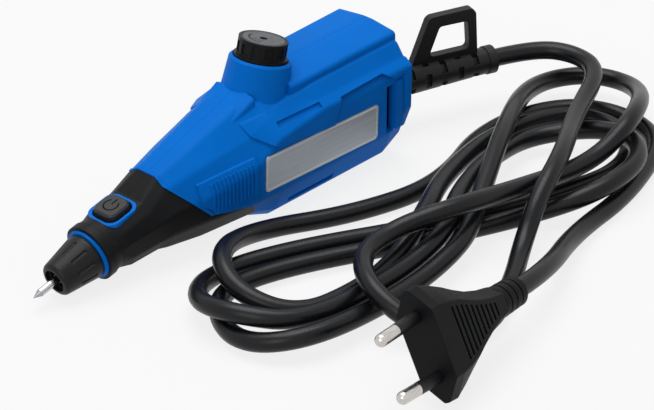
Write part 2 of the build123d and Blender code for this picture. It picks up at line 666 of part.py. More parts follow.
def seam_lip():
    """Low lip on the housing along the upper part of the seam."""
    upper = SEAM_LINE[:3]
    back = [(x + SEAM_LIP, z + SEAM_LIP) for x, z in reversed(upper)]
    return offset_side(upper + back, SEAM_LIP_PROUD)


def offset_side(outline, proud):
    """Side pads: an outline on the side view raised from the body walls by a height, on both sides."""
    return loft(body_form(proud), ruled=True) & side_prism(outline, -HUGE, HUGE)


def finger_ribs():
    """Upright ribs on the finger pads, shorter towards the nose as the pad narrows."""
    top_slope = (PAD_OUTLINE[1][1] - PAD_OUTLINE[0][1]) / (PAD_OUTLINE[1][0] - PAD_OUTLINE[0][0])
    low_slope = (PAD_OUTLINE[2][1] - PAD_OUTLINE[3][1]) / (PAD_OUTLINE[2][0] - PAD_OUTLINE[3][0])
    strips = []
    for i in range(RIB_COUNT):
        x = RIB_FIRST_X + i * RIB_PITCH
        top = PAD_OUTLINE[0][1] + top_slope * (x - PAD_OUTLINE[0][0]) - RIB_MARGIN
        low = PAD_OUTLINE[3][1] + low_slope * (x - PAD_OUTLINE[3][0]) + RIB_MARGIN
        if x < PAD_OUTLINE[3][0]:
            low = low + (PAD_OUTLINE[3][0] - x)
        strips.append(block(x - RIB_WIDTH / 2, x + RIB_WIDTH / 2, -HUGE, HUGE, low, top))
    return loft(body_form(PAD_PROUD + RIB_PROUD), ruled=True) & Part() + strips


def across(x, z, radius, y0, y1):
    """Cylinder square to the mid-plane at a place on the side view."""
    return Pos(x, (y0 + y1) / 2, z) * Rot(90, 0, 0) * Cylinder(radius, y1 - y0)


def both_sides(x0, x1, inner, outer, z0, z1):
    """A box on each side of the mid-plane."""
    return block(x0, x1, inner, outer, z0, z1) + block(x0, x1, -outer, -inner, z0, z1)


def label_form(grow, depth0, depth1):
    """Rounded label rectangle between two distances from the mid-plane, on the +Y side."""
    flat = RectangleRounded(LABEL_LENGTH + 2 * grow, LABEL_HEIGHT + 2 * grow, LABEL_CORNER + grow)
    plane = Plane(origin=(LABEL_X, depth0, LABEL_Z), x_dir=(1, 0, 0), z_dir=(0, 1, 0))
    solid = plane.location * Rot(0, 0, LABEL_TILT) * extrude(flat, amount=depth1 - depth0)
    return solid


def button_prism(length, width, radius, low, high):
    """Rounded rectangle on the button axis between two heights above the nose axis."""
    flat = RectangleRounded(length, width, radius)
    return BUTTON * Pos(0, 0, low) * extrude(flat, amount=high - low)


def tail_rod(radius, front, back):
    """Cylinder along X at the height of the cord."""
    return Pos((front + back) / 2, 0, CORD_Z) * Rot(0, 90, 0) * Cylinder(radius, back - front)


def clamp_rod(side, radius, bottom, top):
    """Upright cylinder on the axis of a clamp screw."""
    middle = (CLAMP_X[0] + CLAMP_X[1]) / 2
    return Pos(middle, side * CLAMP_SCREW_Y, (bottom + top) / 2) * Cylinder(radius, top - bottom)


def boss():
    """Tapered boss under the knob, with a bevelled rim."""
    flat = make_face(Polyline([
        (0, 0, BOSS_RIM), (BOSS_RADIUS - BOSS_BEVEL, 0, BOSS_RIM), (BOSS_RADIUS, 0, BOSS_RIM - BOSS_BEVEL),
        (BOSS_FOOT_RADIUS, 0, -BOSS_DEPTH), (0, 0, -BOSS_DEPTH),
    ], close=True))
    return KNOB * revolve(flat, axis=Axis.Z)


def outer_form():
    """Everything that shows of housing and grip, still solid."""
    form = outer_body() + shoulders() + hump() + plateau(0.0, PLATEAU_STATIONS[0][0], rear_x) + boss()
    form = form + offset_side(PAD_OUTLINE, PAD_PROUD) + finger_ribs() + seam_lip()
    form = form + tail_band() + both_sides(*TAIL_RIB_X, *TAIL_RIB_Y, *TAIL_RIB_Z)
    return form + nose_rod(COLLAR_RADIUS, collar_front, collar_back)


def inner_form():
    """Hollow of housing and grip, with the rooms under the plateau and the boss."""
    room = cavity() + plateau(WALL, KNOB_X + BOSS_FOOT_RADIUS, rear_x - TAIL_WALL)
    return room + knob_rod(BOSS_RADIUS - WALL, BOSS_FLOOR + KNOB_GAP, BOSS_DEPTH + WALL)


def supports():
    """Screw posts, magnet ribs, switch ledges, board shelves and cord saddle, wider than the hollow."""
    wide = BASE_HALF_WIDTH
    result = Part()
    for x, z, seat in SCREW_PLACES:
        web = (z, HUGE) if z > CORD_Z else (-HUGE, z)
        post = across(x, z, POST_RADIUS, -wide, wide)
        result = result + post + block(x - POST_RADIUS, x + POST_RADIUS, -wide, wide, *web)
    for front in (MAGNET_FRONT - FIT - RIB_THICKNESS, magnet_back + FIT):
        back = front + RIB_THICKNESS
        rib = nose_box(RIB_LOW, RIB_HIGH, wide, front, back)
        rib = rib - nose_box(RIB_LOW, RIB_HIGH, RIB_INNER, front, back)
        for side in (-1, 1):
            channel = Cylinder(WIRE_RADIUS + MOVING_GAP, LENGTH)
            rib = rib - NOSE * Pos(SWITCH_WIRE_UP, side * SWITCH_WIRE_SIDE, back) * channel
        result = result + rib
    ledge_low = SWITCH_BOTTOM - LEDGE
    ledge = nose_box(ledge_low, SWITCH_BOTTOM, wide, SWITCH_FRONT, SWITCH_BACK)
    ledge = ledge - nose_box(ledge_low, SWITCH_BOTTOM, SWITCH_HALF_WIDTH - LEDGE, SWITCH_FRONT, SWITCH_BACK)
    result = result + ledge
    shelf_inner = BOARD_HALF_WIDTH - SHELF_DEPTH
    shelf_low = BOARD_Z - SHELF_THICKNESS
    result = result + both_sides(BOARD_X[0], BOARD_X[1], shelf_inner, wide, shelf_low, BOARD_Z)
    return result + block(CLAMP_X[0], CLAMP_X[1], -wide, wide, 0, CORD_Z - CLAMP_SPLIT)


def side_cuts():
    """Label recess, vent, shoulder mark and lower groove of the +Y side."""
    cuts = label_form(FIT, BASE_HALF_WIDTH - LABEL_THICKNESS, BASE_HALF_WIDTH + WALL)
    inside = BASE_HALF_WIDTH - WALL - FIT
    outside = SHOULDER_HALF_WIDTH + WALL
    vent_front = VENT_X - VENT_WIDTH / 2
    cuts = cuts + block(vent_front, vent_front + VENT_WIDTH, inside, outside, VENT_LOW, VENT_HIGH)
    dash_run = Vector(*DASH_BACK) - Vector(*DASH_FRONT)
    dash_middle = (Vector(*DASH_BACK) + Vector(*DASH_FRONT)) / 2
    dash_up = dash_run.cross(Vector(*DASH_FACING)).cross(dash_run)
    dash_place = Plane(origin=dash_middle, x_dir=dash_run, z_dir=dash_up).location
    cuts = cuts + dash_place * Box(dash_run.length, DASH_WIDTH, 2 * DASH_DEPTH)
    run = (BASE_HALF_WIDTH - LOWER_SLOPE_Y) / (SIDE_LOW - LOWER_SLOPE_Z)
    tread_y = LOWER_SLOPE_Y + run * (TREAD_Z - LOWER_SLOPE_Z)
    tread = Box(TREAD_LENGTH, TREAD_WIDTH, 2 * TREAD_DEPTH)
    return cuts + Pos(TREAD_X, tread_y, TREAD_Z) * Rot(-90 - math.degrees(math.atan(run)), 0, 0) * tread


def bezel_opening(grow):
    """Length and width of the hole that the button moves in, grown on every side."""
    return BUTTON_LENGTH + 2 * (BUTTON_CLEARANCE + grow), BUTTON_WIDTH + 2 * (BUTTON_CLEARANCE + grow)


def whole_shell():
    """Hollow housing and grip in one piece, with supports, bores and openings."""
    room = inner_form()
    shell = outer_form() - room + (supports() & room)
    shell = shell + nose_rod(SPIGOT_RADIUS, SPIGOT_FRONT, collar_back)
    shell = shell - nose_rod(CHUCK_RADIUS + MOVING_GAP, SPIGOT_FRONT, collar_front)
    shell = shell - nose_rod(BUSH_RADIUS + FIT / 2, collar_front, BUSH_BACK + WALL)
    shell = shell - knob_rod(KNOB_FLANGE_RADIUS + MOVING_GAP, -BOSS_RIM, KNOB_GAP)
    shell = shell - knob_rod(SPINDLE_BUSH_RADIUS + FIT / 2, 0, BOSS_FLOOR + KNOB_GAP)
    length, width = bezel_opening(BEZEL_RIM + FIT / 2)
    shell = shell - button_prism(length, width, BUTTON_CORNER + BEZEL_RIM, BEZEL_BOTTOM, BUTTON_TOP)
    length, width = bezel_opening(BUTTON_LIP - BUTTON_CLEARANCE + MOVING_GAP)
    shell = shell - button_prism(length, width, BUTTON_CORNER, SWITCH_TOP, BEZEL_BOTTOM)
    shell = shell - tail_rod(CORD_RADIUS + FIT / 2, CLAMP_X[0], CLAMP_X[1])
    shell = shell - tail_rod(RELIEF_ROOT_RADIUS + FIT, rear_x - TAIL_WALL, rear_x)
    cuts = side_cuts()
    shell = shell - cuts - mirror(cuts, about=Plane.XZ)
    for x, z, seat in SCREW_PLACES:
        shell = shell - across(x, z, SCREW_RADIUS + FIT / 2, seat - SCREW_LENGTH - FIT, seat)
        shell = shell - across(x, z, SCREW_HEAD_RADIUS + FIT, seat, SHOULDER_HALF_WIDTH + WALL)
    for side in (-1, 1):
        shell = shell - clamp_rod(side, CLAMP_SCREW_RADIUS + FIT / 2, CLAMP_SCREW_BOTTOM - FIT, CORD_Z)
    return shell


def half_of(solid, side):
    """The part of a solid on one side of the mid-plane."""
    keep = block(-HUGE, HUGE, PARTING_GAP / 2, HUGE, -HUGE, HUGE)
    if side < 0:
        keep = block(-HUGE, HUGE, -HUGE, -PARTING_GAP / 2, -HUGE, HUGE)
    return solid & keep


def shells():
    """Blue housing and black grip, each in two halves."""
    shell = whole_shell()
    before_tip = [(-HUGE, SEAM_LINE[-1][1]), (-HUGE, SEAM_LINE[0][1])]
    front_of_seam = side_prism(before_tip + SEAM_LINE, -HUGE, HUGE)
    grip = shell & front_of_seam
    housing = shell - front_of_seam
    return {
        "left_housing_shell": half_of(housing, -1),
        "right_housing_shell": half_of(housing, 1),
        "left_grip_shell": half_of(grip, -1),
        "right_grip_shell": half_of(grip, 1),
    }


def label_plates():
    """Bare plates let into the side walls."""
    plate = label_form(0.0, BASE_HALF_WIDTH - LABEL_THICKNESS, BASE_HALF_WIDTH)
    return {"right_label_plate": plate, "left_label_plate": mirror(plate, about=Plane.XZ)}


def nose_revolved(profile):
    """Ring turned round the nose axis from a closed outline of (radius, distance along)."""
    flat = make_face(Polyline([(r, 0, s) for r, s in profile], close=True))
    return NOSE * revolve(flat, axis=Axis.Z)


def nose_pieces():
    """Fluted cap, clamping ring, needle and its chuck, guide bush."""
    cap_floor = CAP_FRONT + CAP_RIM_DEPTH
    cap_bore_front = cap_floor + CAP_FRONT_WALL
    thread = SPIGOT_RADIUS + MOVING_GAP
    cone_front = CAP_FRONT + CAP_ROUNDING
    cone_back = CAP_BACK - CAP_BACK_RIM
    rounding = []
    for i in range(CAP_ROUNDING_STEPS + 1):
        turn = math.pi / 2 * i / CAP_ROUNDING_STEPS
        out = CAP_FRONT_RADIUS - CAP_ROUNDING * (1 - math.sin(turn))
        rounding.append((out, cone_front - CAP_ROUNDING * math.cos(turn)))
    cap = nose_revolved([(CAP_RIM_RADIUS, CAP_FRONT)] + rounding + [
        (CAP_BACK_RADIUS, cone_back), (CAP_BACK_RADIUS, CAP_BACK),
        (thread, CAP_BACK), (thread, CAP_THREAD_FRONT), (CAP_BORE, CAP_THREAD_FRONT),
        (CAP_BORE, cap_bore_front), (CAP_MOUTH, cap_bore_front), (CAP_MOUTH, cap_floor),
        (CAP_RIM_RADIUS, cap_floor),
    ])
    flute_length = FLUTE_BACK - FLUTE_FRONT
    flute_middle = (FLUTE_FRONT + FLUTE_BACK) / 2
    widening = (CAP_BACK_RADIUS - CAP_FRONT_RADIUS) / (cone_back - cone_front)
    flare = math.degrees(math.atan(widening))
    flute_out = CAP_FRONT_RADIUS + widening * (flute_middle - cone_front) + FLUTE_OUT
    for i in range(CAP_FLUTES):
        flute = Pos(flute_out, 0, flute_middle) * Rot(0, flare, 0) * Cylinder(FLUTE_RADIUS, flute_length)
        cap = cap - NOSE * Rot(0, 0, i * 360 / CAP_FLUTES) * flute
    ring = nose_rod(RING_RADIUS, RING_FRONT, collar_front)
    ring = ring - nose_rod(SPIGOT_RADIUS + FIT, RING_FRONT, collar_front)
    needle = nose_rod(NEEDLE_RADIUS, NEEDLE_POINT, NEEDLE_BACK)
    point = nose_revolved([(0, 0), (NEEDLE_RADIUS, NEEDLE_POINT), (0, NEEDLE_POINT)])
    grub_hole = NOSE * Pos(CHUCK_RADIUS / 2, 0, GRUB_AT) * Rot(0, 90, 0)
    chuck = nose_rod(CHUCK_RADIUS, CHUCK_FRONT, CHUCK_BACK)
    chuck = chuck + nose_rod(CHUCK_NOSE_RADIUS, CHUCK_NOSE_FRONT, CHUCK_FRONT)
    chuck = chuck - nose_rod(NEEDLE_RADIUS + PRESS, CHUCK_NOSE_FRONT, NEEDLE_BACK)
    chuck = chuck - grub_hole * Cylinder(GRUB_RADIUS + PRESS, CHUCK_RADIUS)
    grub_length = CHUCK_RADIUS - NEEDLE_RADIUS - FIT
    grub_place = NOSE * Pos(NEEDLE_RADIUS + grub_length / 2, 0, GRUB_AT) * Rot(0, 90, 0)
    grub = grub_place * Cylinder(GRUB_RADIUS, grub_length)
    grub = grub - nose_rod(NEEDLE_RADIUS, CHUCK_FRONT, NEEDLE_BACK)
    bush = nose_rod(BUSH_RADIUS, collar_front + FIT, BUSH_BACK)
    bush = bush - nose_rod(ROD_RADIUS + RUNNING, collar_front, BUSH_BACK)
    return {
        "nose_cap": cap, "nose_ring": ring, "stylus": needle, "carbide_tip": point,
        "needle_chuck": chuck, "chuck_screw": grub, "guide_bush": bush,
    }


def button_pieces():
    """Bezel, push button with its lip and stem, and the switch below it."""
    outer_length, outer_width = bezel_opening(BEZEL_RIM)
    inner_length, inner_width = bezel_opening(0.0)
    inner_corner = BUTTON_CORNER + BUTTON_CLEARANCE
    bezel = button_prism(outer_length, outer_width, BUTTON_CORNER + BEZEL_RIM, BEZEL_BOTTOM, BEZEL_TOP)
    bezel = bezel - button_prism(inner_length, inner_width, inner_corner, BEZEL_BOTTOM, BEZEL_TOP)
    button = button_prism(BUTTON_LENGTH, BUTTON_WIDTH, BUTTON_CORNER, LIP_HIGH, BUTTON_TOP)
    crown = button.faces().sort_by(Axis((0, 0, 0), (-math.sin(dip), 0, math.cos(dip))))[-1]
    button = chamfer(crown.edges(), BUTTON_BEVEL)
    lip_length, lip_width = bezel_opening(BUTTON_LIP - BUTTON_CLEARANCE)
    button = button + button_prism(lip_length, lip_width, BUTTON_CORNER, LIP_LOW, LIP_HIGH)
    stem = Cylinder(STEM_RADIUS, LIP_LOW - STEM_BOTTOM)
    button = button + BUTTON * Pos(0, 0, (STEM_BOTTOM + LIP_LOW) / 2) * stem
    switch = nose_box(SWITCH_BOTTOM, SWITCH_TOP, SWITCH_HALF_WIDTH, SWITCH_FRONT, SWITCH_BACK)
    well = Cylinder(STEM_RADIUS + MOVING_GAP, SWITCH_WELL)
    switch = switch - BUTTON * Pos(0, 0, SWITCH_TOP - SWITCH_WELL / 2) * well
    return {"button_bezel": bezel, "power_button": button, "switch_body": switch}


def magnet_pieces():
    """Coil on its bobbin in a steel frame, the plunger with rod, clip and return spring."""
    front_plate = MAGNET_FRONT + FRAME_PLATE
    back_plate = magnet_back - FRAME_PLATE
    frame_floor = FRAME_BOTTOM + FRAME_PLATE
    frame = nose_box(FRAME_BOTTOM, FRAME_TOP, FRAME_HALF_WIDTH, MAGNET_FRONT, front_plate)
    frame = frame + nose_box(FRAME_BOTTOM, FRAME_TOP, FRAME_HALF_WIDTH, back_plate, magnet_back)
    frame = frame + nose_box(FRAME_BOTTOM, frame_floor, FRAME_HALF_WIDTH, MAGNET_FRONT, magnet_back)
    frame = frame - nose_rod(FRAME_ROD_HOLE, MAGNET_FRONT, front_plate)
    frame = frame - nose_rod(PLUNGER_RADIUS + MOVING_GAP, back_plate, magnet_back)
    spool_front = front_plate + FIT / 2
    spool_back = back_plate - FIT / 2
    tube_radius = BOBBIN_BORE + BOBBIN_WALL
    bobbin = nose_rod(tube_radius, spool_front, spool_back)
    bobbin = bobbin + nose_rod(FLANGE_RADIUS, spool_front, spool_front + BOBBIN_FLANGE)
    bobbin = bobbin + nose_rod(FLANGE_RADIUS, spool_back - BOBBIN_FLANGE, spool_back)
    bobbin = bobbin - nose_rod(BOBBIN_BORE, spool_front, spool_back)
    coil_front = spool_front + BOBBIN_FLANGE + FIT / 2
    coil_back = spool_back - BOBBIN_FLANGE - FIT / 2
    coil = nose_rod(COIL_RADIUS, coil_front, coil_back)
    coil = coil - nose_rod(tube_radius + FIT / 2, coil_front, coil_back)
    plunger = nose_rod(PLUNGER_RADIUS, PLUNGER_FRONT, PLUNGER_BACK)
    plunger = plunger + nose_rod(TAIL_RADIUS, PLUNGER_BACK, TAIL_BACK)
    groove = nose_rod(PLUNGER_RADIUS, CLIP_AT - FIT / 2, CLIP_AT + CLIP_THICKNESS + FIT / 2)
    plunger = plunger - (groove - nose_rod(PLUNGER_GROOVE, PLUNGER_FRONT, PLUNGER_BACK))
    clip = nose_rod(CLIP_RADIUS, CLIP_AT, CLIP_AT + CLIP_THICKNESS)
    clip = clip - nose_rod(PLUNGER_GROOVE + FIT / 2, CLIP_AT, CLIP_AT + CLIP_THICKNESS)
    rod = nose_rod(ROD_RADIUS, CHUCK_BACK, PLUNGER_FRONT)
    seat = SPRING_WIRE + FIT / 2
    height = CLIP_AT - magnet_back - 2 * seat
    path = Helix(pitch=height / SPRING_TURNS, height=height, radius=SPRING_RADIUS)
    wire = sweep(Plane(origin=path @ 0, z_dir=path % 0) * Circle(SPRING_WIRE), path=path)
    spring = NOSE * Pos(0, 0, magnet_back + seat) * wire
    return {
        "solenoid_frame": frame, "coil_bobbin": bobbin, "coil_winding": coil, "plunger": plunger,
        "spring_clip": clip, "drive_rod": rod, "return_spring": spring,
    }


def knob_pieces():
    """Knob with sunk side panels and its disc, the spindle with the eccentric stop, its bush and clip."""
    knob = knob_rod(KNOB_RADIUS, -KNOB_HEIGHT, 0) + knob_rod(KNOB_FLANGE_RADIUS, -KNOB_FLANGE, 0)
    sunk = Box(2 * PANEL_DEPTH, PANEL_WIDTH, PANEL_HIGH - PANEL_LOW)
    sunk = Pos(KNOB_RADIUS, 0, (PANEL_LOW + PANEL_HIGH) / 2) * sunk
    for i in range(KNOB_PANELS):
        knob = knob - KNOB * Rot(0, 0, i * 360 / KNOB_PANELS) * sunk
    knob = knob - knob_rod(DISC_RADIUS + FIT / 2, -KNOB_HEIGHT, -KNOB_HEIGHT + DISC_THICKNESS)
    knob = knob - knob_rod(SPINDLE_RADIUS + FIT / 2, SPINDLE_TOP, 0)
    disc = knob_rod(DISC_RADIUS, -KNOB_HEIGHT, -KNOB_HEIGHT + DISC_THICKNESS)
    disc = disc - knob_rod(DISC_HOLE, -KNOB_HEIGHT, -KNOB_HEIGHT + DISC_THICKNESS)
    spindle = knob_rod(SPINDLE_RADIUS, SPINDLE_TOP, ECCENTRIC_TOP)
    groove = knob_rod(SPINDLE_RADIUS, SPINDLE_CLIP_AT - FIT / 2, SPINDLE_CLIP_AT + SPINDLE_CLIP + FIT / 2)
    spindle = spindle - (groove - knob_rod(SPINDLE_GROOVE, SPINDLE_TOP, ECCENTRIC_TOP))
    stop = Cylinder(ECCENTRIC_RADIUS, ECCENTRIC_BOTTOM - ECCENTRIC_TOP)
    spindle = spindle + KNOB * Pos(ECCENTRICITY, 0, -(ECCENTRIC_TOP + ECCENTRIC_BOTTOM) / 2) * stop
    clip = knob_rod(SPINDLE_CLIP_RADIUS, SPINDLE_CLIP_AT, SPINDLE_CLIP_AT + SPINDLE_CLIP)
    clip = clip - knob_rod(SPINDLE_GROOVE + FIT / 2, SPINDLE_CLIP_AT, SPINDLE_CLIP_AT + SPINDLE_CLIP)
    flange_top = BOSS_FLOOR + KNOB_GAP + FIT / 2
    bush = knob_rod(SPINDLE_BUSH_RADIUS, SPINDLE_BUSH_TOP, SPINDLE_BUSH_BOTTOM)
    bush = bush + knob_rod(BUSH_FLANGE_RADIUS, flange_top, flange_top + BUSH_FLANGE)
    bush = bush - knob_rod(SPINDLE_RADIUS + RUNNING, SPINDLE_BUSH_TOP, SPINDLE_BUSH_BOTTOM)
    return {
        "depth_knob": knob, "knob_disc": disc, "stop_spindle": spindle, "spindle_clip": clip,
        "spindle_bush": bush,
    }


def tube(points, radius):
    """Round wire or cord along straight runs with a tangent arc at every corner, and its bend radii."""
    stops = [Vector(*p) for p in points]
    bends = []
    for before, here, after in zip(stops, stops[1:], stops[2:]):
        back = before - here
        ahead = after - here
        half_turn = (math.pi - math.radians(back.get_angle(ahead))) / 2
        bends.append(BEND_SHARE * min(back.length, ahead.length) / math.tan(half_turn))
    path = FilletPolyline(*stops, radius=bends)
    solid = sweep(Plane(origin=path @ 0, z_dir=path % 0) * Circle(radius), path=path)
    return solid, bends, path


def paired(points, radius):
    """Two wires, one on each side of the mid-plane."""
    solid = tube(points, radius)[0]
    return solid + mirror(solid, about=Plane.XZ)


def supply_pieces():
    """Circuit board with its parts, cord clamp, the cord's inner end and all wires."""
    top = BOARD_Z + BOARD_THICKNESS
    board = block(BOARD_X[0], BOARD_X[1], -BOARD_HALF_WIDTH, BOARD_HALF_WIDTH, BOARD_Z, top)
    terminal_top = top + TERMINAL_HEIGHT
    terminal = block(*TERMINAL_X, -TERMINAL_HALF_WIDTH, TERMINAL_HALF_WIDTH, top, terminal_top)
    capacitor = block(*CAPACITOR_X, *CAPACITOR_Y, top, top + CAPACITOR_HEIGHT)
    diode_z = top + DIODE_RADIUS + FIT
    diode = across(DIODE_X, diode_z, DIODE_RADIUS, DIODE_Y - DIODE_LENGTH / 2, DIODE_Y + DIODE_LENGTH / 2)
    diode = diode + across(DIODE_X, diode_z, DIODE_LEAD, DIODE_Y - DIODE_SPAN / 2, DIODE_Y + DIODE_SPAN / 2)
    foot_height = diode_z + DIODE_LEAD - top
    foot = Box(2 * DIODE_LEAD, 2 * DIODE_LEAD, foot_height)
    for side in (-1, 1):
        diode = diode + Pos(DIODE_X, DIODE_Y + side * DIODE_SPAN / 2, top + foot_height / 2) * foot
    bar_bottom = CORD_Z + CLAMP_SPLIT
    bar_top = bar_bottom + CLAMP_THICKNESS
    clamp = block(CLAMP_X[0], CLAMP_X[1], -CLAMP_HALF_WIDTH, CLAMP_HALF_WIDTH, bar_bottom, bar_top)
    clamp = clamp - tail_rod(CORD_RADIUS + FIT / 2, CLAMP_X[0], CLAMP_X[1])
    screws = Part()
    for side in (-1, 1):
        clamp = clamp - clamp_rod(side, CLAMP_SCREW_RADIUS + FIT / 2, bar_bottom, bar_top)
        screws = screws + clamp_rod(side, CLAMP_SCREW_RADIUS, CLAMP_SCREW_BOTTOM, bar_top)
        screws = screws + clamp_rod(side, CLAMP_HEAD_RADIUS, bar_top, bar_top + CLAMP_HEAD)
    inner_cord = tail_rod(CORD_RADIUS, INNER_CORD_FRONT, rear_x - TAIL_WALL - RELIEF_FLANGE)
    cores = paired([
        (INNER_CORD_FRONT, CORE_SIDE, CORD_Z), (CORE_RISE_X, CORE_SIDE, CORD_Z),
        (CORE_RISE_X, CORE_TOP_SIDE, CORE_TOP_Z), (TERMINAL_X[1], CORE_TOP_SIDE, CORE_TOP_Z),
    ], CORE_RADIUS)
    wire_turn = magnet_back + WIRE_LEAD_OUT
    coil_leads = paired([
        (TERMINAL_X[0], COIL_WIRE_ROUTE[0][1], COIL_WIRE_ROUTE[0][2]), *COIL_WIRE_ROUTE,
        nose_point(wire_turn, COIL_WIRE_UP, COIL_WIRE_SIDE),
        nose_point(magnet_back - FRAME_PLATE, COIL_WIRE_UP, COIL_WIRE_SIDE),
    ], WIRE_RADIUS)
    switch_leads = paired([
        nose_point(SWITCH_BACK, SWITCH_EXIT_UP, SWITCH_EXIT_SIDE),
        nose_point(SWITCH_BACK + SWITCH_EXIT_RUN, SWITCH_EXIT_UP, SWITCH_EXIT_SIDE),
        nose_point(*SWITCH_DROP),
        nose_point(MAGNET_FRONT - WIRE_LEAD_IN, SWITCH_WIRE_UP, SWITCH_WIRE_SIDE),
        nose_point(wire_turn, SWITCH_WIRE_UP, SWITCH_WIRE_SIDE),
        *SWITCH_WIRE_ROUTE, (TERMINAL_X[0], SWITCH_WIRE_ROUTE[-1][1], SWITCH_WIRE_ROUTE[-1][2]),
    ], WIRE_RADIUS)
    return {
        "circuit_board": board, "terminal_block": terminal, "suppressor_capacitor": capacitor,
        "rectifier_diode": diode, "cord_clamp": clamp, "clamp_screws": screws, "inner_cord": inner_cord,
        "cord_cores": cores, "coil_leads": coil_leads, "switch_leads": switch_leads,
    }


def housing_screws():
    """Five equal screws put in from the right side, with crossed slots."""
    screws = Part()
    for x, z, seat in SCREW_PLACES:
        screw = across(x, z, SCREW_RADIUS, seat - SCREW_LENGTH, seat)
        head = across(x, z, SCREW_HEAD_RADIUS, seat, seat + SCREW_HEAD)
        for turn in (0, 90):
            slot = Box(2 * SCREW_RADIUS, 2 * SCREW_SLOT, SCREW_SLOT)
            head = head - Pos(x, seat + SCREW_HEAD, z) * Rot(0, turn, 0) * slot
        screws = screws + (screw + head)
    return {"housing_screws": screws}


def relief_frame():
    """Plane at the start of the sleeve's straight part: local x along it, local y up."""
    turn = math.radians(RELIEF_TURN)
    x = rear_x + RELIEF_BEND_RADIUS * math.sin(turn)
    y = -RELIEF_BEND_RADIUS * (1 - math.cos(turn))
    along = (math.cos(turn), -math.sin(turn), 0)
    aside = (-math.sin(turn), -math.cos(turn), 0)
    return Plane(origin=(x, y, 0), x_dir=along, z_dir=aside)


def strain_relief():
    """Slotted rubber sleeve with a flange inside the tail wall and a hanging loop on top."""
    frame = relief_frame()
    flange_back = rear_x - TAIL_WALL - FIT / 2
    sleeve = tail_rod(RELIEF_FLANGE_RADIUS, rear_x - TAIL_WALL - RELIEF_FLANGE, flange_back)
    sleeve = sleeve + tail_rod(RELIEF_ROOT_RADIUS, flange_back, rear_x)
    bend = RadiusArc((rear_x, 0, CORD_Z), (frame.origin.X, frame.origin.Y, CORD_Z), RELIEF_BEND_RADIUS)
    section = Plane(origin=(rear_x, 0, CORD_Z), z_dir=(1, 0, 0)) * Circle(RELIEF_ROOT_RADIUS)
    sleeve = sleeve + sweep(section, path=bend)
    along = frame.location * Pos(0, CORD_Z, 0) * Rot(0, 90, 0)
    cone_length = RELIEF_STRAIGHT - RELIEF_COLLAR
    cone = along * Pos(0, 0, cone_length / 2) * Cone(RELIEF_ROOT_RADIUS, RELIEF_END_RADIUS, cone_length)
    for i in range(RELIEF_SLOTS):
        middle = RELIEF_SLOT_FIRST + i * RELIEF_SLOT_PITCH
        radius = RELIEF_ROOT_RADIUS + (RELIEF_END_RADIUS - RELIEF_ROOT_RADIUS) * middle / cone_length
        slot = Cylinder(2 * RELIEF_ROOT_RADIUS, RELIEF_SLOT_WIDTH)
        slot = slot - Cylinder(radius - RELIEF_SLOT_DEPTH, RELIEF_SLOT_WIDTH)
        slot = slot - Box(RELIEF_WEB, 4 * RELIEF_ROOT_RADIUS, RELIEF_SLOT_WIDTH)
        slot = slot - Box(4 * RELIEF_ROOT_RADIUS, RELIEF_WEB, RELIEF_SLOT_WIDTH)
        cone = cone - along * Pos(0, 0, middle) * Rot(0, 0, 45 * (i % 2)) * slot
    collar = Cylinder(RELIEF_COLLAR_RADIUS, RELIEF_COLLAR)
    collar = along * Pos(0, 0, RELIEF_STRAIGHT - RELIEF_COLLAR / 2) * collar
    plate = rounded_outline(LOOP_OUTLINE, LOOP_RADII)
    plate = plate - rounded_outline(LOOP_EYE, [LOOP_EYE_RADIUS] * len(LOOP_EYE))
    loop = extrude(plate, amount=LOOP_THICKNESS, dir=(0, 0, 1))
    loop = frame.location * Pos(0, 0, -LOOP_THICKNESS / 2) * loop
    return {"strain_relief": sleeve + cone + collar + loop}


def plug_frame():
    """Plug axes: local z along the pins, local x along the wide side, from the middle of the face."""
    heading = math.radians(PLUG_HEADING)
    pitch = math.radians(PLUG_PITCH)
    roll = math.radians(PLUG_ROLL)
    pins = Vector(math.cos(pitch) * math.cos(heading), math.cos(pitch) * math.sin(heading), math.sin(pitch))
    level = Vector(-math.sin(heading), math.cos(heading), 0)
    upright = pins.cross(level)
    wide = level * math.cos(roll) - upright * math.sin(roll)
    return Plane(origin=PLUG_FACE, x_dir=wide, z_dir=pins)


def plug_section(at, width, flat, thickness):
    """Section of the plug at a distance behind its face: two parallel flats and bevelled, blunt ends."""
    quarter = [(width / 2, PLUG_BLUNT / 2), (flat / 2, thickness / 2)]
    upper = quarter + [(-x, y) for x, y in reversed(quarter)]
    corners = upper + [(-x, -y) for x, y in upper]
    return Pos(0, 0, -at) * rounded_outline(corners, [PLUG_CORNER] * len(corners))


def plug_sections():
    """Distance behind the face, width, flat length and thickness of each section of the plug body."""
    return [
        (0.0, PLUG_WIDTH - 2 * PLUG_DRAFT, PLUG_FLAT, PLUG_THICKNESS),
        (PLUG_FLANGE, PLUG_WIDTH, PLUG_FLAT, PLUG_THICKNESS),
    ] + PLUG_TAPER


def plug_flat_at(at):
    """Flat length and thickness of the plug body at a distance behind its face."""
    sections = plug_sections()
    for near, far in zip(sections, sections[1:]):
        if at <= far[0]:
            share = (at - near[0]) / (far[0] - near[0])
            return near[2] + share * (far[2] - near[2]), near[3] + share * (far[3] - near[3])
    return sections[-1][2], sections[-1][3]


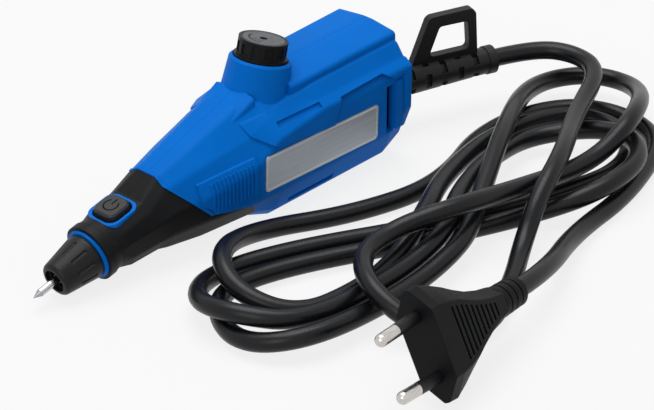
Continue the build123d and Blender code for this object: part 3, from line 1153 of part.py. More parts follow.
def plug_pieces():
    """Flat plug body with grip grooves and a ringed neck, sleeved pins."""
    place = plug_frame().location
    body = loft([plug_section(*section) for section in plug_sections()], ruled=True)
    for i in range(PLUG_GROOVES):
        at = PLUG_GROOVE_FIRST + i * PLUG_GROOVE_PITCH
        flat, thickness = plug_flat_at(at)
        length = flat - 2 * PLUG_GROOVE_MARGIN
        groove = Box(length, 2 * thickness, PLUG_GROOVE_WIDTH)
        groove = groove - Box(length, thickness - 2 * PLUG_GROOVE_DEPTH, PLUG_GROOVE_WIDTH)
        body = body - Pos(0, 0, -at) * groove
    waist = PLUG_TAPER[-1][0]
    neck_length = PLUG_NECK - waist
    body = body + Pos(0, 0, -(waist + PLUG_NECK) / 2) * Cylinder(PLUG_NECK_RADIUS, neck_length)
    ring_pitch = neck_length / PLUG_RINGS
    for i in range(PLUG_RINGS):
        radius = PLUG_RING_RADIUS + (PLUG_RING_END_RADIUS - PLUG_RING_RADIUS) * (i + 1) / PLUG_RINGS
        ring = Cylinder(radius, PLUG_RING_WIDTH)
        body = body + Pos(0, 0, PLUG_RING_WIDTH / 2 - waist - (i + 1) * ring_pitch) * ring
    sleeves = Part()
    pins = Part()
    for side in (-1, 1):
        pin_axis = Pos(side * PIN_PITCH / 2, 0, 0) * Rot(0, -side * PIN_TOE_IN, 0)
        root_hole = Cylinder(PIN_CORE_RADIUS + FIT / 2, 2 * (PIN_ROOT + FIT))
        body = body - pin_axis * root_hole
        sleeve = Cylinder(PIN_RADIUS, PIN_SLEEVE) - Cylinder(PIN_CORE_RADIUS + FIT / 2, PIN_SLEEVE)
        sleeves = sleeves + pin_axis * Pos(0, 0, PIN_SLEEVE / 2 + FIT) * sleeve
        metal_start = PIN_SLEEVE + 2 * FIT
        metal_end = PIN_LENGTH - PIN_RADIUS
        pin = Pos(0, 0, (metal_start - PIN_ROOT) / 2) * Cylinder(PIN_CORE_RADIUS, metal_start + PIN_ROOT)
        pin = pin + Pos(0, 0, (metal_start + metal_end) / 2) * Cylinder(PIN_RADIUS, metal_end - metal_start)
        pin = pin + Pos(0, 0, metal_end) * Sphere(PIN_RADIUS)
        pins = pins + pin_axis * pin
    return {"plug_body": place * body, "pin_sleeves": place * sleeves, "plug_pins": place * pins}


def least_gap(path, radius):
    """Smallest clear distance between stretches of a tube that are not next to each other."""
    count = int(path.length / GAP_STEP)
    places = [path @ (i / count) for i in range(count + 1)]
    apart = int(GAP_NEIGHBOURS * radius / GAP_STEP)
    nearest = HUGE
    for i, here in enumerate(places):
        for there in places[i + apart:]:
            if abs(here.X - there.X) < nearest and abs(here.Y - there.Y) < nearest:
                nearest = min(nearest, (here - there).length)
    return nearest - 2 * radius


def mains_cord():
    """Loosely looped cord from the end of the strain relief to the neck of the plug."""
    relief = relief_frame()
    plug = plug_frame()
    start = relief.origin + relief.x_dir * RELIEF_STRAIGHT + Vector(0, 0, CORD_Z)
    end = plug.origin - plug.z_dir * PLUG_NECK
    leaving = start + relief.x_dir * CORD_LEAVE
    arriving = end - plug.z_dir * CORD_ARRIVE
    solid, bends, path = tube([start, leaving] + CORD_ROUTE + [arriving, end], CORD_RADIUS)
    expected = math.pi * CORD_RADIUS ** 2 * path.length
    print("cord length", round(path.length), "bend radii", [round(r) for r in bends])
    print("cord volume share", round(solid.volume / expected, 4))
    print("cord least gap", round(least_gap(path, CORD_RADIUS), 2))
    return {"mains_cord": solid}


parts = {}
parts.update(shells())
parts.update(label_plates())
parts.update(nose_pieces())
parts.update(button_pieces())
parts.update(magnet_pieces())
parts.update(knob_pieces())
parts.update(supply_pieces())
parts.update(housing_screws())
parts.update(strain_relief())
parts.update(plug_pieces())
parts.update(mains_cord())

for name, solid in parts.items():
    print(name, [round(s.volume, 1) for s in solid.solids()], solid.is_valid)
    export_step(solid, "parts/" + name + ".step")
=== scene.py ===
import math

import bmesh
import bpy
import numpy as np
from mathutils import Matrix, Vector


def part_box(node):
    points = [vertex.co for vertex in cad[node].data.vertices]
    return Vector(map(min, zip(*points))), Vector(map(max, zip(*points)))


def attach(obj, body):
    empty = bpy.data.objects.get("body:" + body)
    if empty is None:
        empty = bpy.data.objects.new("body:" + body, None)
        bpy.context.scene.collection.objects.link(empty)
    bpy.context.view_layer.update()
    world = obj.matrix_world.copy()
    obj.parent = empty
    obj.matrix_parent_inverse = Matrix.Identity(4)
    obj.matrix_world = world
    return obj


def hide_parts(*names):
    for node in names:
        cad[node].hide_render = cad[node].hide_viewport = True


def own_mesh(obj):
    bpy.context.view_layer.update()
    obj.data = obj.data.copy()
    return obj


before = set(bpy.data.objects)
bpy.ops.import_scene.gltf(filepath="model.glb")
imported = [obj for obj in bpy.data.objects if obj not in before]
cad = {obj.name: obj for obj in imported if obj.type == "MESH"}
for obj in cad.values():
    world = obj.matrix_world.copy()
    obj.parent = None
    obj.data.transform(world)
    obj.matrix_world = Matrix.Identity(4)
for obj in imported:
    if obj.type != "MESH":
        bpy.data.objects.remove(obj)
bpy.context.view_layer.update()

# Table: a wide pale sheet that the tool and its cord lie on. It keeps a faint shadow of them.
# The camera, mirrors and clear pieces see most of it as an even pale tone, and it glows a little,
# as a lit sheet does, so that the undersides of the tool stay light.
TABLE_HALF = 3.0
TABLE_LINES = 9
TABLE_DROP = 0.0002
TABLE_TONES = ((0.79, 0.79, 0.79, 1), (0.81, 0.81, 0.81, 1))
TABLE_LIGHT = (0.95, 0.95, 0.95, 1)
TABLE_SEEN = 0.86
TABLE_GLOW = 0.4


def surface(name, grid, close_rows=False, close_columns=False):
    """Mesh object from a grid of points in rows and columns. Each four neighbours make a face, and a
    closed direction joins its last line to its first."""
    rows, columns = grid.shape[:2]
    index = np.arange(rows * columns).reshape(rows, columns)
    if close_rows:
        index = np.concatenate([index, index[:1]], axis=0)
    if close_columns:
        index = np.concatenate([index, index[:, :1]], axis=1)
    corners = (index[:-1, :-1], index[1:, :-1], index[1:, 1:], index[:-1, 1:])
    faces = np.stack([c.ravel() for c in corners], axis=1)
    mesh = bpy.data.meshes.new(name)
    mesh.from_pydata(grid.reshape(-1, 3).tolist(), [], faces.tolist())
    made = bpy.data.objects.new(name, mesh)
    bpy.context.scene.collection.objects.link(made)
    return made


def new_finish(name):
    """Empty finish with its surface shader."""
    finish = bpy.data.materials.new(name)
    finish.use_nodes = True
    return finish, finish.node_tree.nodes["Principled BSDF"]


def add_node(owner, kind, sockets):
    """New shader node with plain values on the named sockets."""
    made = owner.node_tree.nodes.new(kind)
    for socket, value in sockets.items():
        made.inputs[socket].default_value = value
    return made


def seen_by_eye(owner):
    """One where the camera, a mirror or a clear piece looks, nought for the light that falls on things."""
    ray = add_node(owner, "ShaderNodeLightPath", {})
    first = add_node(owner, "ShaderNodeMath", {})
    second = add_node(owner, "ShaderNodeMath", {})
    first.operation = "MAXIMUM"
    second.operation = "MAXIMUM"
    owner.node_tree.links.new(ray.outputs["Is Camera Ray"], first.inputs[0])
    owner.node_tree.links.new(ray.outputs["Is Glossy Ray"], first.inputs[1])
    owner.node_tree.links.new(first.outputs[0], second.inputs[0])
    owner.node_tree.links.new(ray.outputs["Is Transmission Ray"], second.inputs[1])
    return second.outputs[0]


table_line = np.linspace(-TABLE_HALF, TABLE_HALF, TABLE_LINES)
table_x, table_y = np.meshgrid(table_line, table_line)
table_points = np.stack([table_x.T, table_y.T, np.full_like(table_x, -TABLE_DROP)], axis=2)
table = surface("table", table_points)
table_finish, table_shader = new_finish("pale_table")
table_shader.inputs["Roughness"].default_value = 0.9
table_shader.inputs["Specular IOR Level"].default_value = 0.1
table_place = add_node(table_finish, "ShaderNodeTexCoord", {})
table_noise = add_node(table_finish, "ShaderNodeTexNoise", {"Scale": 8.0, "Detail": 3.0})
table_tone = add_node(table_finish, "ShaderNodeValToRGB", {})
table_tone.color_ramp.elements[0].color = TABLE_TONES[0]
table_tone.color_ramp.elements[1].color = TABLE_TONES[1]
table_glow = add_node(table_finish, "ShaderNodeEmission", {"Color": TABLE_LIGHT, "Strength": 1.0})
table_share = add_node(table_finish, "ShaderNodeMapRange", {"To Min": TABLE_GLOW, "To Max": TABLE_SEEN})
table_mix = add_node(table_finish, "ShaderNodeMixShader", {})
table_out = table_finish.node_tree.nodes["Material Output"]
table_links = table_finish.node_tree.links
table_links.new(table_place.outputs["Object"], table_noise.inputs["Vector"])
table_links.new(table_noise.outputs["Fac"], table_tone.inputs["Fac"])
table_links.new(table_tone.outputs["Color"], table_shader.inputs["Base Color"])
table_links.new(seen_by_eye(table_finish), table_share.inputs["Value"])
table_links.new(table_share.outputs[0], table_mix.inputs[0])
table_links.new(table_shader.outputs[0], table_mix.inputs[1])
table_links.new(table_glow.outputs[0], table_mix.inputs[2])
table_links.new(table_mix.outputs[0], table_out.inputs["Surface"])
table.data.materials.append(table_finish)

# Studio: a wide soft box overhead, a softer one on the left of the camera and an even pale room.
# The room is the same pale tone as the table wherever it is seen.
ROOM_TONE = (0.93, 0.93, 0.93, 1)
ROOM_FILL = 0.42
SOFT_BOXES = {
    "overhead_box": {"watts": 17.0, "size": 1.1, "place": (0.15, 0.25, 1.4), "turn": (-10, 6, 0)},
    "side_box": {"watts": 4.0, "size": 0.8, "place": (-1.1, -0.45, 0.75), "turn": (52, 0, -68)},
}
room = bpy.data.worlds.new("pale_room")
bpy.context.scene.world = room
room.use_nodes = True
room_fill = room.node_tree.nodes["Background"]
room_fill.inputs["Color"].default_value = (1, 1, 1, 1)
room_fill.inputs["Strength"].default_value = ROOM_FILL
room_seen = add_node(room, "ShaderNodeBackground", {"Color": ROOM_TONE, "Strength": 1.0})
room_mix = add_node(room, "ShaderNodeMixShader", {})
room_links = room.node_tree.links
room_links.new(seen_by_eye(room), room_mix.inputs[0])
room_links.new(room_fill.outputs[0], room_mix.inputs[1])
room_links.new(room_seen.outputs[0], room_mix.inputs[2])
room_links.new(room_mix.outputs[0], room.node_tree.nodes["World Output"].inputs["Surface"])
for box_name, box in SOFT_BOXES.items():
    lamp = bpy.data.lights.new(box_name, "AREA")
    lamp.energy = box["watts"]
    lamp.size = box["size"]
    stand = bpy.data.objects.new(box_name, lamp)
    stand.location = box["place"]
    stand.rotation_euler = [math.radians(turn) for turn in box["turn"]]
    bpy.context.scene.collection.objects.link(stand)
bpy.context.scene.view_settings.view_transform = "Standard"

# Camera: a long lens above the needle end, looking down along the left side of the tool.
# It stands almost a metre away, so that the tool and the cord both fill the frame.
CAMERA_AT = (-0.5660, -0.5794, 0.4821)
CAMERA_TURN = -47.0
CAMERA_FALL = 30.5
CAMERA_LENS = 162.4
CAMERA_SENSOR = 36.0
camera_lens = bpy.data.cameras.new("long_lens")
camera_lens.lens = CAMERA_LENS
camera_lens.sensor_width = CAMERA_SENSOR
camera = bpy.data.objects.new("camera", camera_lens)
camera.location = CAMERA_AT
camera.rotation_euler = (math.radians(90 - CAMERA_FALL), 0, math.radians(CAMERA_TURN))
bpy.context.scene.collection.objects.link(camera)
bpy.context.scene.camera = camera

# Electromagnet: a stamped iron frame round a white nylon bobbin, which carries the copper winding.
# The frame is dull cut steel, and the winding is enamelled wire laid turn beside turn.
NOSE_DIP = 13.0
IRON_TONE = (0.20, 0.20, 0.21)
NYLON_TONE = (0.72, 0.70, 0.64)
COPPER_TONE = (0.62, 0.22, 0.09)
CUT_LINES = (0.004, 0.004, 0.0003)
WIRE_PITCH = 0.00035
BAND_SCALE = math.pi / 10
NOISE_LOW = 0.3
NOISE_HIGH = 0.7


def dress(finish, *names):
    """Puts one finish on every slot of the named solids."""
    for name in names:
        for place in cad[name].material_slots:
            place.material = finish


def shaded(tone, share):
    """A tone made lighter or darker, as a colour with full cover."""
    return tuple(min(1.0, c * share) for c in tone) + (1.0,)


def tone_spread(finish, shader, noise, tone, spread):
    """Noise moves the colour to either side of its tone by a share."""
    ramp = add_node(finish, "ShaderNodeValToRGB", {})
    ramp.color_ramp.elements[0].position = NOISE_LOW
    ramp.color_ramp.elements[0].color = shaded(tone, 1 - spread)
    ramp.color_ramp.elements[1].position = NOISE_HIGH
    ramp.color_ramp.elements[1].color = shaded(tone, 1 + spread)
    finish.node_tree.links.new(noise, ramp.inputs["Fac"])
    finish.node_tree.links.new(ramp.outputs["Color"], shader.inputs["Base Color"])


def rough_spread(finish, shader, noise, roughness, spread):
    """Noise moves the roughness to either side of its value."""
    span = add_node(finish, "ShaderNodeMapRange", {
        "From Min": NOISE_LOW, "From Max": NOISE_HIGH,
        "To Min": roughness - spread, "To Max": roughness + spread,
    })
    finish.node_tree.links.new(noise, span.inputs["Value"])
    finish.node_tree.links.new(span.outputs["Result"], shader.inputs["Roughness"])


def lifted(finish, shader, height, depth, edge):
    """Bump of a height field by a depth in metres, over edges that are softened by a radius."""
    bump = add_node(finish, "ShaderNodeBump", {"Distance": depth})
    finish.node_tree.links.new(height, bump.inputs["Height"])
    if edge > 0:
        soft = add_node(finish, "ShaderNodeBevel", {"Radius": edge})
        finish.node_tree.links.new(soft.outputs["Normal"], bump.inputs["Normal"])
    finish.node_tree.links.new(bump.outputs["Normal"], shader.inputs["Normal"])


def moulded(name, tone, roughness, gloss, grain, depth, edge=0.0, spread=0.08):
    """Moulded plastic or rubber: noise of one grain's size lifts the skin and moves its roughness,
    broad noise moves its tone, and edges are softened."""
    finish, shader = new_finish(name)
    shader.inputs["Specular IOR Level"].default_value = gloss
    place = add_node(finish, "ShaderNodeTexCoord", {})
    fine = add_node(finish, "ShaderNodeTexNoise", {"Scale": 1 / grain, "Detail": 3.0})
    broad = add_node(finish, "ShaderNodeTexNoise", {"Scale": 60.0, "Detail": 5.0})
    finish.node_tree.links.new(place.outputs["Object"], fine.inputs["Vector"])
    finish.node_tree.links.new(place.outputs["Object"], broad.inputs["Vector"])
    tone_spread(finish, shader, broad.outputs["Fac"], tone, spread)
    rough_spread(finish, shader, fine.outputs["Fac"], roughness, spread=0.05)
    lifted(finish, shader, fine.outputs["Fac"], depth, edge)
    return finish


def cut_metal(name, tone, roughness, dip, lines, depth, metal=1.0, edge=0.00015):
    """Cut, turned or brushed metal: noise drawn out by three lengths in a frame that is dipped about
    the Y axis makes tool lines in tone, roughness and height."""
    finish, shader = new_finish(name)
    shader.inputs["Metallic"].default_value = metal
    place = add_node(finish, "ShaderNodeTexCoord", {})
    turn = add_node(finish, "ShaderNodeMapping", {"Rotation": (0, -math.radians(dip), 0), "Scale": lines})
    turn.vector_type = "TEXTURE"
    streak = add_node(finish, "ShaderNodeTexNoise", {"Scale": 1.0, "Detail": 4.0})
    finish.node_tree.links.new(place.outputs["Object"], turn.inputs["Vector"])
    finish.node_tree.links.new(turn.outputs["Vector"], streak.inputs["Vector"])
    tone_spread(finish, shader, streak.outputs["Fac"], tone, spread=0.12)
    rough_spread(finish, shader, streak.outputs["Fac"], roughness, spread=0.08)
    lifted(finish, shader, streak.outputs["Fac"], depth, edge)
    return finish


def wound_wire(name, tone, pitch):
    """Enamelled wire wound along the nose axis: bands of one pitch give the turns their round backs."""
    finish, shader = new_finish(name)
    shader.inputs["Metallic"].default_value = 1.0
    shader.inputs["Coat Weight"].default_value = 0.4
    place = add_node(finish, "ShaderNodeTexCoord", {})
    turn = add_node(finish, "ShaderNodeMapping", {
        "Rotation": (0, -math.radians(NOSE_DIP), 0), "Scale": (pitch, pitch, pitch),
    })
    turn.vector_type = "TEXTURE"
    bands = add_node(finish, "ShaderNodeTexWave", {"Scale": BAND_SCALE, "Distortion": 0.3})
    broad = add_node(finish, "ShaderNodeTexNoise", {"Scale": 200.0, "Detail": 3.0})
    finish.node_tree.links.new(place.outputs["Object"], turn.inputs["Vector"])
    finish.node_tree.links.new(turn.outputs["Vector"], bands.inputs["Vector"])
    finish.node_tree.links.new(place.outputs["Object"], broad.inputs["Vector"])
    tone_spread(finish, shader, broad.outputs["Fac"], tone, spread=0.15)
    rough_spread(finish, shader, broad.outputs["Fac"], roughness=0.32, spread=0.06)
    lifted(finish, shader, bands.outputs["Fac"], depth=pitch / 3, edge=0.0)
    return finish


iron = cut_metal(
    "magnet_iron_cut", IRON_TONE, roughness=0.45, dip=NOSE_DIP, lines=CUT_LINES, depth=0.00001,
)
nylon = moulded(
    "white_nylon_moulded", NYLON_TONE, roughness=0.45, gloss=0.4, grain=0.0004, depth=0.000008, edge=0.0002,
)
dress(iron, "solenoid_frame")
dress(nylon, "coil_bobbin")
dress(wound_wire("coil_copper_wound", COPPER_TONE, WIRE_PITCH), "coil_winding")

# Plunger, drive rod, spring clip and return spring: turned and drawn steel on the nose axis.
# The rod is pressed into the plunger, and the clip sits in its groove. The spring stands on the
# back of the magnet's frame, and the clip squeezes it at each stroke.
STEEL_TONE = (0.55, 0.56, 0.58)
TURNED_LINES = (0.0002, 0.006, 0.006)
NEEDLE_POINT = (-0.075, 0.0, 0.005)
SPRING_START = 0.0805
SPRING_RISE = 0.0062
SPRING_RADIUS = 0.0056
SPRING_WIRE = 0.00045
SPRING_TURNS = 4
STEPS_IN_A_TURN = 72
WIRE_SIDES = 12
SAME_POINT = 1e-7
NO_LENGTH = 1e-8
nose_along = np.array([math.cos(math.radians(NOSE_DIP)), 0, math.sin(math.radians(NOSE_DIP))])
nose_up = np.array([-math.sin(math.radians(NOSE_DIP)), 0, math.cos(math.radians(NOSE_DIP))])
nose_side = np.array([0.0, 1.0, 0.0])


def closed_up(made):
    """Joins the points that meet in a seam or a pole and turns all the faces outwards."""
    work = bmesh.new()
    work.from_mesh(made.data)
    bmesh.ops.remove_doubles(work, verts=work.verts, dist=SAME_POINT)
    bmesh.ops.dissolve_degenerate(work, edges=work.edges, dist=NO_LENGTH)
    bmesh.ops.recalc_face_normals(work, faces=work.faces)
    work.to_mesh(made.data)
    work.free()
    return made


def coiled_wire(name, foot, rise, radius, wire, turns):
    """Round wire coiled about the nose axis: its middle climbs evenly from the foot as it turns, and a
    circle across the wire is carried along it, drawn in to a point at both ends."""
    share = np.linspace(0, 1, STEPS_IN_A_TURN * turns + 1)[:, None]
    turned = 2 * math.pi * turns * share
    outward = np.cos(turned) * nose_up - np.sin(turned) * nose_side
    middle = foot + rise * share * nose_along + radius * outward
    forward = np.gradient(middle, axis=0)
    forward = forward / np.linalg.norm(forward, axis=1, keepdims=True)
    across = np.cross(forward, outward)
    ring = np.linspace(0, 2 * math.pi, WIRE_SIDES, endpoint=False)[None, :, None]
    circle = np.cos(ring) * outward[:, None, :] + np.sin(ring) * across[:, None, :]
    thick = np.full(len(middle), wire)
    thick[[0, -1]] = 0.0
    return closed_up(surface(name, middle[:, None, :] + thick[:, None, None] * circle, close_columns=True))


turned_steel = cut_metal(
    "plain_steel_turned", STEEL_TONE, roughness=0.3, dip=NOSE_DIP, lines=TURNED_LINES, depth=0.000006,
)
turned_iron = cut_metal(
    "magnet_iron_turned", IRON_TONE, roughness=0.38, dip=NOSE_DIP, lines=TURNED_LINES, depth=0.000006,
)
dress(turned_iron, "plunger")
dress(turned_steel, "drive_rod", "spring_clip", "return_spring")
spring_foot = np.array(NEEDLE_POINT) + SPRING_START * nose_along
spring = coiled_wire("spring_coil", spring_foot, SPRING_RISE, SPRING_RADIUS, SPRING_WIRE, SPRING_TURNS)
spring.data.materials.append(turned_steel)
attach(spring, "housing")
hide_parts("return_spring")
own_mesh(spring)

# Guide bush and spindle bush: sintered bronze, pressed into the grip's neck and the boss.
# The metal is open-grained and holds oil, so it is darker in patches.
BRONZE_TONE = (0.46, 0.27, 0.11)
SINTERED_GRAIN = (0.0003, 0.0003, 0.0003)
bronze = cut_metal(
    "bronze_sintered", BRONZE_TONE, roughness=0.42, dip=NOSE_DIP, lines=SINTERED_GRAIN, depth=0.00001,
)
dress(bronze, "guide_bush", "spindle_bush")

# Needle, carbide point, chuck and grub screw: the needle is ground bright, its point is darker
# carbide, and the turned chuck is blackened and clamps it with the screw.
NEEDLE_TONE = (0.52, 0.53, 0.54)
CARBIDE_TONE = (0.36, 0.36, 0.38)
BLACKENED_TONE = (0.02, 0.02, 0.022)
GROUND_LINES = (0.00015, 0.004, 0.004)
POINT_LINES = (0.0001, 0.002, 0.002)
needle_steel = cut_metal(
    "needle_steel_ground", NEEDLE_TONE, roughness=0.2, dip=NOSE_DIP, lines=GROUND_LINES, depth=0.000003,
)
carbide = cut_metal(
    "carbide_ground", CARBIDE_TONE, roughness=0.32, dip=NOSE_DIP, lines=POINT_LINES, depth=0.000003,
)
blackened_steel = cut_metal(
    "plain_steel_blackened", BLACKENED_TONE, roughness=0.4, dip=NOSE_DIP, lines=TURNED_LINES, depth=0.000004,
    metal=0.6,
)
dress(needle_steel, "stylus")
dress(carbide, "carbide_tip")
dress(blackened_steel, "needle_chuck")
dress(turned_steel, "chuck_screw")

# Switch under the button: a small black box with the hole for the button's stem.
# It is moulded plastic and sits in a pocket of the grip, where the two halves hold it.
SWITCH_TONE = (0.012, 0.012, 0.013)
switch_black = moulded(
    "switch_black_moulded", SWITCH_TONE, roughness=0.5, gloss=0.3, grain=0.0004, depth=0.00001, edge=0.0002,
)
dress(switch_black, "switch_body")

# Circuit board with its terminal block, capacitor and diode: green lacquer over woven glass,
# with white nylon, a yellow film block and a black moulded body soldered to it.
BOARD_TONE = (0.02, 0.16, 0.06)
CAPACITOR_TONE = (0.72, 0.50, 0.08)
WEAVE = 0.0006


def lacquered_weave(name, tone, weave):
    """Green lacquer over glass cloth: squares one thread wide lie high and low in turn, like a weave."""
    finish, shader = new_finish(name)
    shader.inputs["Coat Weight"].default_value = 0.5
    place = add_node(finish, "ShaderNodeTexCoord", {})
    size = add_node(finish, "ShaderNodeMapping", {"Scale": (weave, weave, weave)})
    size.vector_type = "TEXTURE"
    threads = add_node(finish, "ShaderNodeTexChecker", {"Scale": 1.0})
    broad = add_node(finish, "ShaderNodeTexNoise", {"Scale": 300.0, "Detail": 4.0})
    finish.node_tree.links.new(place.outputs["Object"], size.inputs["Vector"])
    finish.node_tree.links.new(size.outputs["Vector"], threads.inputs["Vector"])
    finish.node_tree.links.new(place.outputs["Object"], broad.inputs["Vector"])
    tone_spread(finish, shader, broad.outputs["Fac"], tone, spread=0.25)
    rough_spread(finish, shader, broad.outputs["Fac"], roughness=0.35, spread=0.06)
    lifted(finish, shader, threads.outputs["Fac"], depth=0.00001, edge=0.0)
    return finish


dress(lacquered_weave("board_green_lacquer", BOARD_TONE, WEAVE), "circuit_board")
dress(nylon, "terminal_block")
film_yellow = moulded(
    "capacitor_yellow_film", CAPACITOR_TONE, roughness=0.35, gloss=0.5, grain=0.0008, depth=0.00001,
    edge=0.0003,
)
dress(film_yellow, "suppressor_capacitor")
dress(switch_black, "rectifier_diode")

# Wires inside the housing: brown cores of the mains cord and red leads of the coil and the switch,
# all in soft insulation with a slight shine.
BROWN_TONE = (0.11, 0.035, 0.015)
RED_TONE = (0.45, 0.02, 0.02)
brown_wire = moulded("wire_brown_soft", BROWN_TONE, roughness=0.42, gloss=0.4, grain=0.0005, depth=0.000008)
red_wire = moulded("wire_red_soft", RED_TONE, roughness=0.42, gloss=0.4, grain=0.0005, depth=0.000008)
dress(brown_wire, "cord_cores")
dress(red_wire, "coil_leads", "switch_leads")

# Housing: two blue moulded halves with raised shoulders, a plateau and the boss of the knob.
# They are satin plastic with a fine eroded grain and softened edges, screwed together from the right.
BLUE_TONE = (0.0, 0.132, 0.53)
BLUE_EDGE = 0.0004
PARTING_CLEAR = 0.0008


def sharp_parting(finish, edge):
    """The softened edges fade out within a short way of the mid-plane, where the two halves meet."""
    place = add_node(finish, "ShaderNodeTexCoord", {})
    parts = add_node(finish, "ShaderNodeSeparateXYZ", {})
    away = add_node(finish, "ShaderNodeMath", {})
    away.operation = "ABSOLUTE"
    fade = add_node(finish, "ShaderNodeMapRange", {
        "From Min": PARTING_CLEAR, "From Max": 2 * PARTING_CLEAR, "To Min": 0.0, "To Max": edge,
    })
    links = finish.node_tree.links
    links.new(place.outputs["Object"], parts.inputs["Vector"])
    links.new(parts.outputs["Y"], away.inputs[0])
    links.new(away.outputs[0], fade.inputs["Value"])
    links.new(fade.outputs["Result"], finish.node_tree.nodes["Bevel"].inputs["Radius"])


housing_blue = moulded(
    "blue_housing_moulded", BLUE_TONE, roughness=0.5, gloss=0.04, grain=0.00045, depth=0.000012,
    edge=BLUE_EDGE, spread=0.05,
)
sharp_parting(housing_blue, BLUE_EDGE)
dress(housing_blue, "left_housing_shell", "right_housing_shell")

# Grip: the two black halves of the nose, with ribbed finger pads. They are soft satin plastic with
# a coarser grain than the housing and join it along a stepped seam.
GRIP_TONE = (0.0038, 0.0041, 0.0048)
GRIP_EDGE = 0.0004
grip_black = moulded(
    "black_grip_moulded", GRIP_TONE, roughness=0.5, gloss=0.13, grain=0.0006, depth=0.00003,
    edge=GRIP_EDGE, spread=0.18,
)
sharp_parting(grip_black, GRIP_EDGE)
dress(grip_black, "left_grip_shell", "right_grip_shell")

# Housing screws, cord clamp and its screws: turned steel in deep holes of the right half, and a black
# moulded bar that presses the cord into its saddle.
SCREW_LINES = (0.004, 0.0003, 0.004)
cross_steel = cut_metal(
    "plain_steel_across", STEEL_TONE, roughness=0.34, dip=0.0, lines=SCREW_LINES, depth=0.000006,
)
dress(cross_steel, "housing_screws", "clamp_screws")
dress(switch_black, "cord_clamp")

# Label plates: thin bare aluminium let into the side walls, brushed lengthwise, with a fine raised
# border a little inside the edge.
PLATE_TONE = (0.46, 0.50, 0.55)
BORDER_TONE = (0.66, 0.68, 0.70)
PLATE_MIDDLE = (0.0337, 0.0196)
PLATE_LENGTH = 0.0524
PLATE_HEIGHT = 0.0126
PLATE_CORNER = 0.0015
PLATE_TILT = 1.6
BORDER_INSET = 0.0007
BORDER_WIDTH = 0.0004
BORDER_HEIGHT = 0.00012
BORDER_STEPS = 12
BRUSHED_LINES = (0.012, 0.012, 0.00022)
BEAD_POINTS = 9
BEAD_SINK = 0.5


def bead(name, path, side, out, width, height, closed):
    """Low rounded bead: a half round of the given width and height carried along a path, with side and
    out as its two directions and its foot sunk by a share of its height. An open bead is drawn in to a
    point at both ends along a quarter circle."""
    turn = np.linspace(0, math.pi, BEAD_POINTS)
    sideways = np.concatenate([np.cos(turn), [0.0]]) * width / 2
    upwards = np.concatenate([np.sin(turn), [-BEAD_SINK]]) * height
    draw = np.ones(len(path))
    if not closed:
        run = np.concatenate([[0.0], np.cumsum(np.linalg.norm(np.diff(path, axis=0), axis=1))])
        left = np.minimum(run, run[-1] - run) / (width / 2)
        draw = np.sqrt(1 - (1 - np.clip(left, 0, 1)) ** 2)
    spread = draw[:, None, None] * sideways[None, :, None] * side[:, None, :]
    rise = draw[:, None, None] * upwards[None, :, None] * out[None, None, :]
    return closed_up(surface(name, path[:, None, :] + spread + rise, close_rows=closed, close_columns=True))


def rounded_rectangle(length, height, corner, steps):
    """Closed flat path of a rectangle with round corners, as length and height coordinates, and the
    outward direction at each point."""
    quarter = np.linspace(0, math.pi / 2, steps)
    turns = np.concatenate([quarter + k * math.pi / 2 for k in range(4)])
    signs = np.repeat(np.array([[1, 1], [-1, 1], [-1, -1], [1, -1]]), steps, axis=0)
    centres = signs * np.array([length / 2 - corner, height / 2 - corner])
    outward = np.stack([np.cos(turns), np.sin(turns)], axis=1)
    return centres + corner * outward, outward


plate_metal = cut_metal(
    "label_silver_brushed", PLATE_TONE, roughness=0.42, dip=-PLATE_TILT, lines=BRUSHED_LINES, depth=0.000006,
    metal=0.6,
)
border_metal = cut_metal(
    "label_silver_bright", BORDER_TONE, roughness=0.4, dip=-PLATE_TILT, lines=BRUSHED_LINES, depth=0.000004,
    metal=0.3, edge=0.0,
)
dress(plate_metal, "left_label_plate", "right_label_plate")
border_length = PLATE_LENGTH - 2 * BORDER_INSET
border_rise = PLATE_HEIGHT - 2 * BORDER_INSET
border_corner = PLATE_CORNER - BORDER_INSET / 2
border_flat, border_out = rounded_rectangle(border_length, border_rise, border_corner, BORDER_STEPS)
fall = math.radians(PLATE_TILT)
plate_along = np.array([math.cos(fall), 0, -math.sin(fall)])
plate_up = np.array([math.sin(fall), 0, math.cos(fall)])
plate_faces = {"left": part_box("left_label_plate")[0].y, "right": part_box("right_label_plate")[1].y}
for plate_side, face_y in plate_faces.items():
    middle = np.array([PLATE_MIDDLE[0], face_y, PLATE_MIDDLE[1]])
    border_path = middle + border_flat[:, :1] * plate_along + border_flat[:, 1:] * plate_up
    border_side = border_out[:, :1] * plate_along + border_out[:, 1:] * plate_up
    face_out = np.array([0, math.copysign(1, face_y), 0])
    border_name = plate_side + "_plate_border"
    border = bead(border_name, border_path, border_side, face_out, BORDER_WIDTH, BORDER_HEIGHT, True)
    border.data.materials.append(border_metal)
    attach(border, "housing")

# Nose ring and button bezel: blue trim pieces, moulded smoother than the housing.
# The ring is held between the grip's collar and the cap, and the bezel is snapped into the grip.
trim_blue = moulded(
    "blue_trim_moulded", BLUE_TONE, roughness=0.4, gloss=0.08, grain=0.0005, depth=0.000006,
    edge=0.0003, spread=0.05,
)
dress(trim_blue, "nose_ring", "button_bezel")

# Nose cap: a black fluted cap that screws on round the needle, with its front sunk inside a rim.
# It is moulded in the same plastic as the grip, a little smoother.
CAP_TONE = (0.006, 0.0062, 0.0067)
cap_black = moulded(
    "black_cap_moulded", CAP_TONE, roughness=0.42, gloss=0.2, grain=0.0005, depth=0.00002,
    edge=0.0003, spread=0.18,
)
dress(cap_black, "nose_cap")

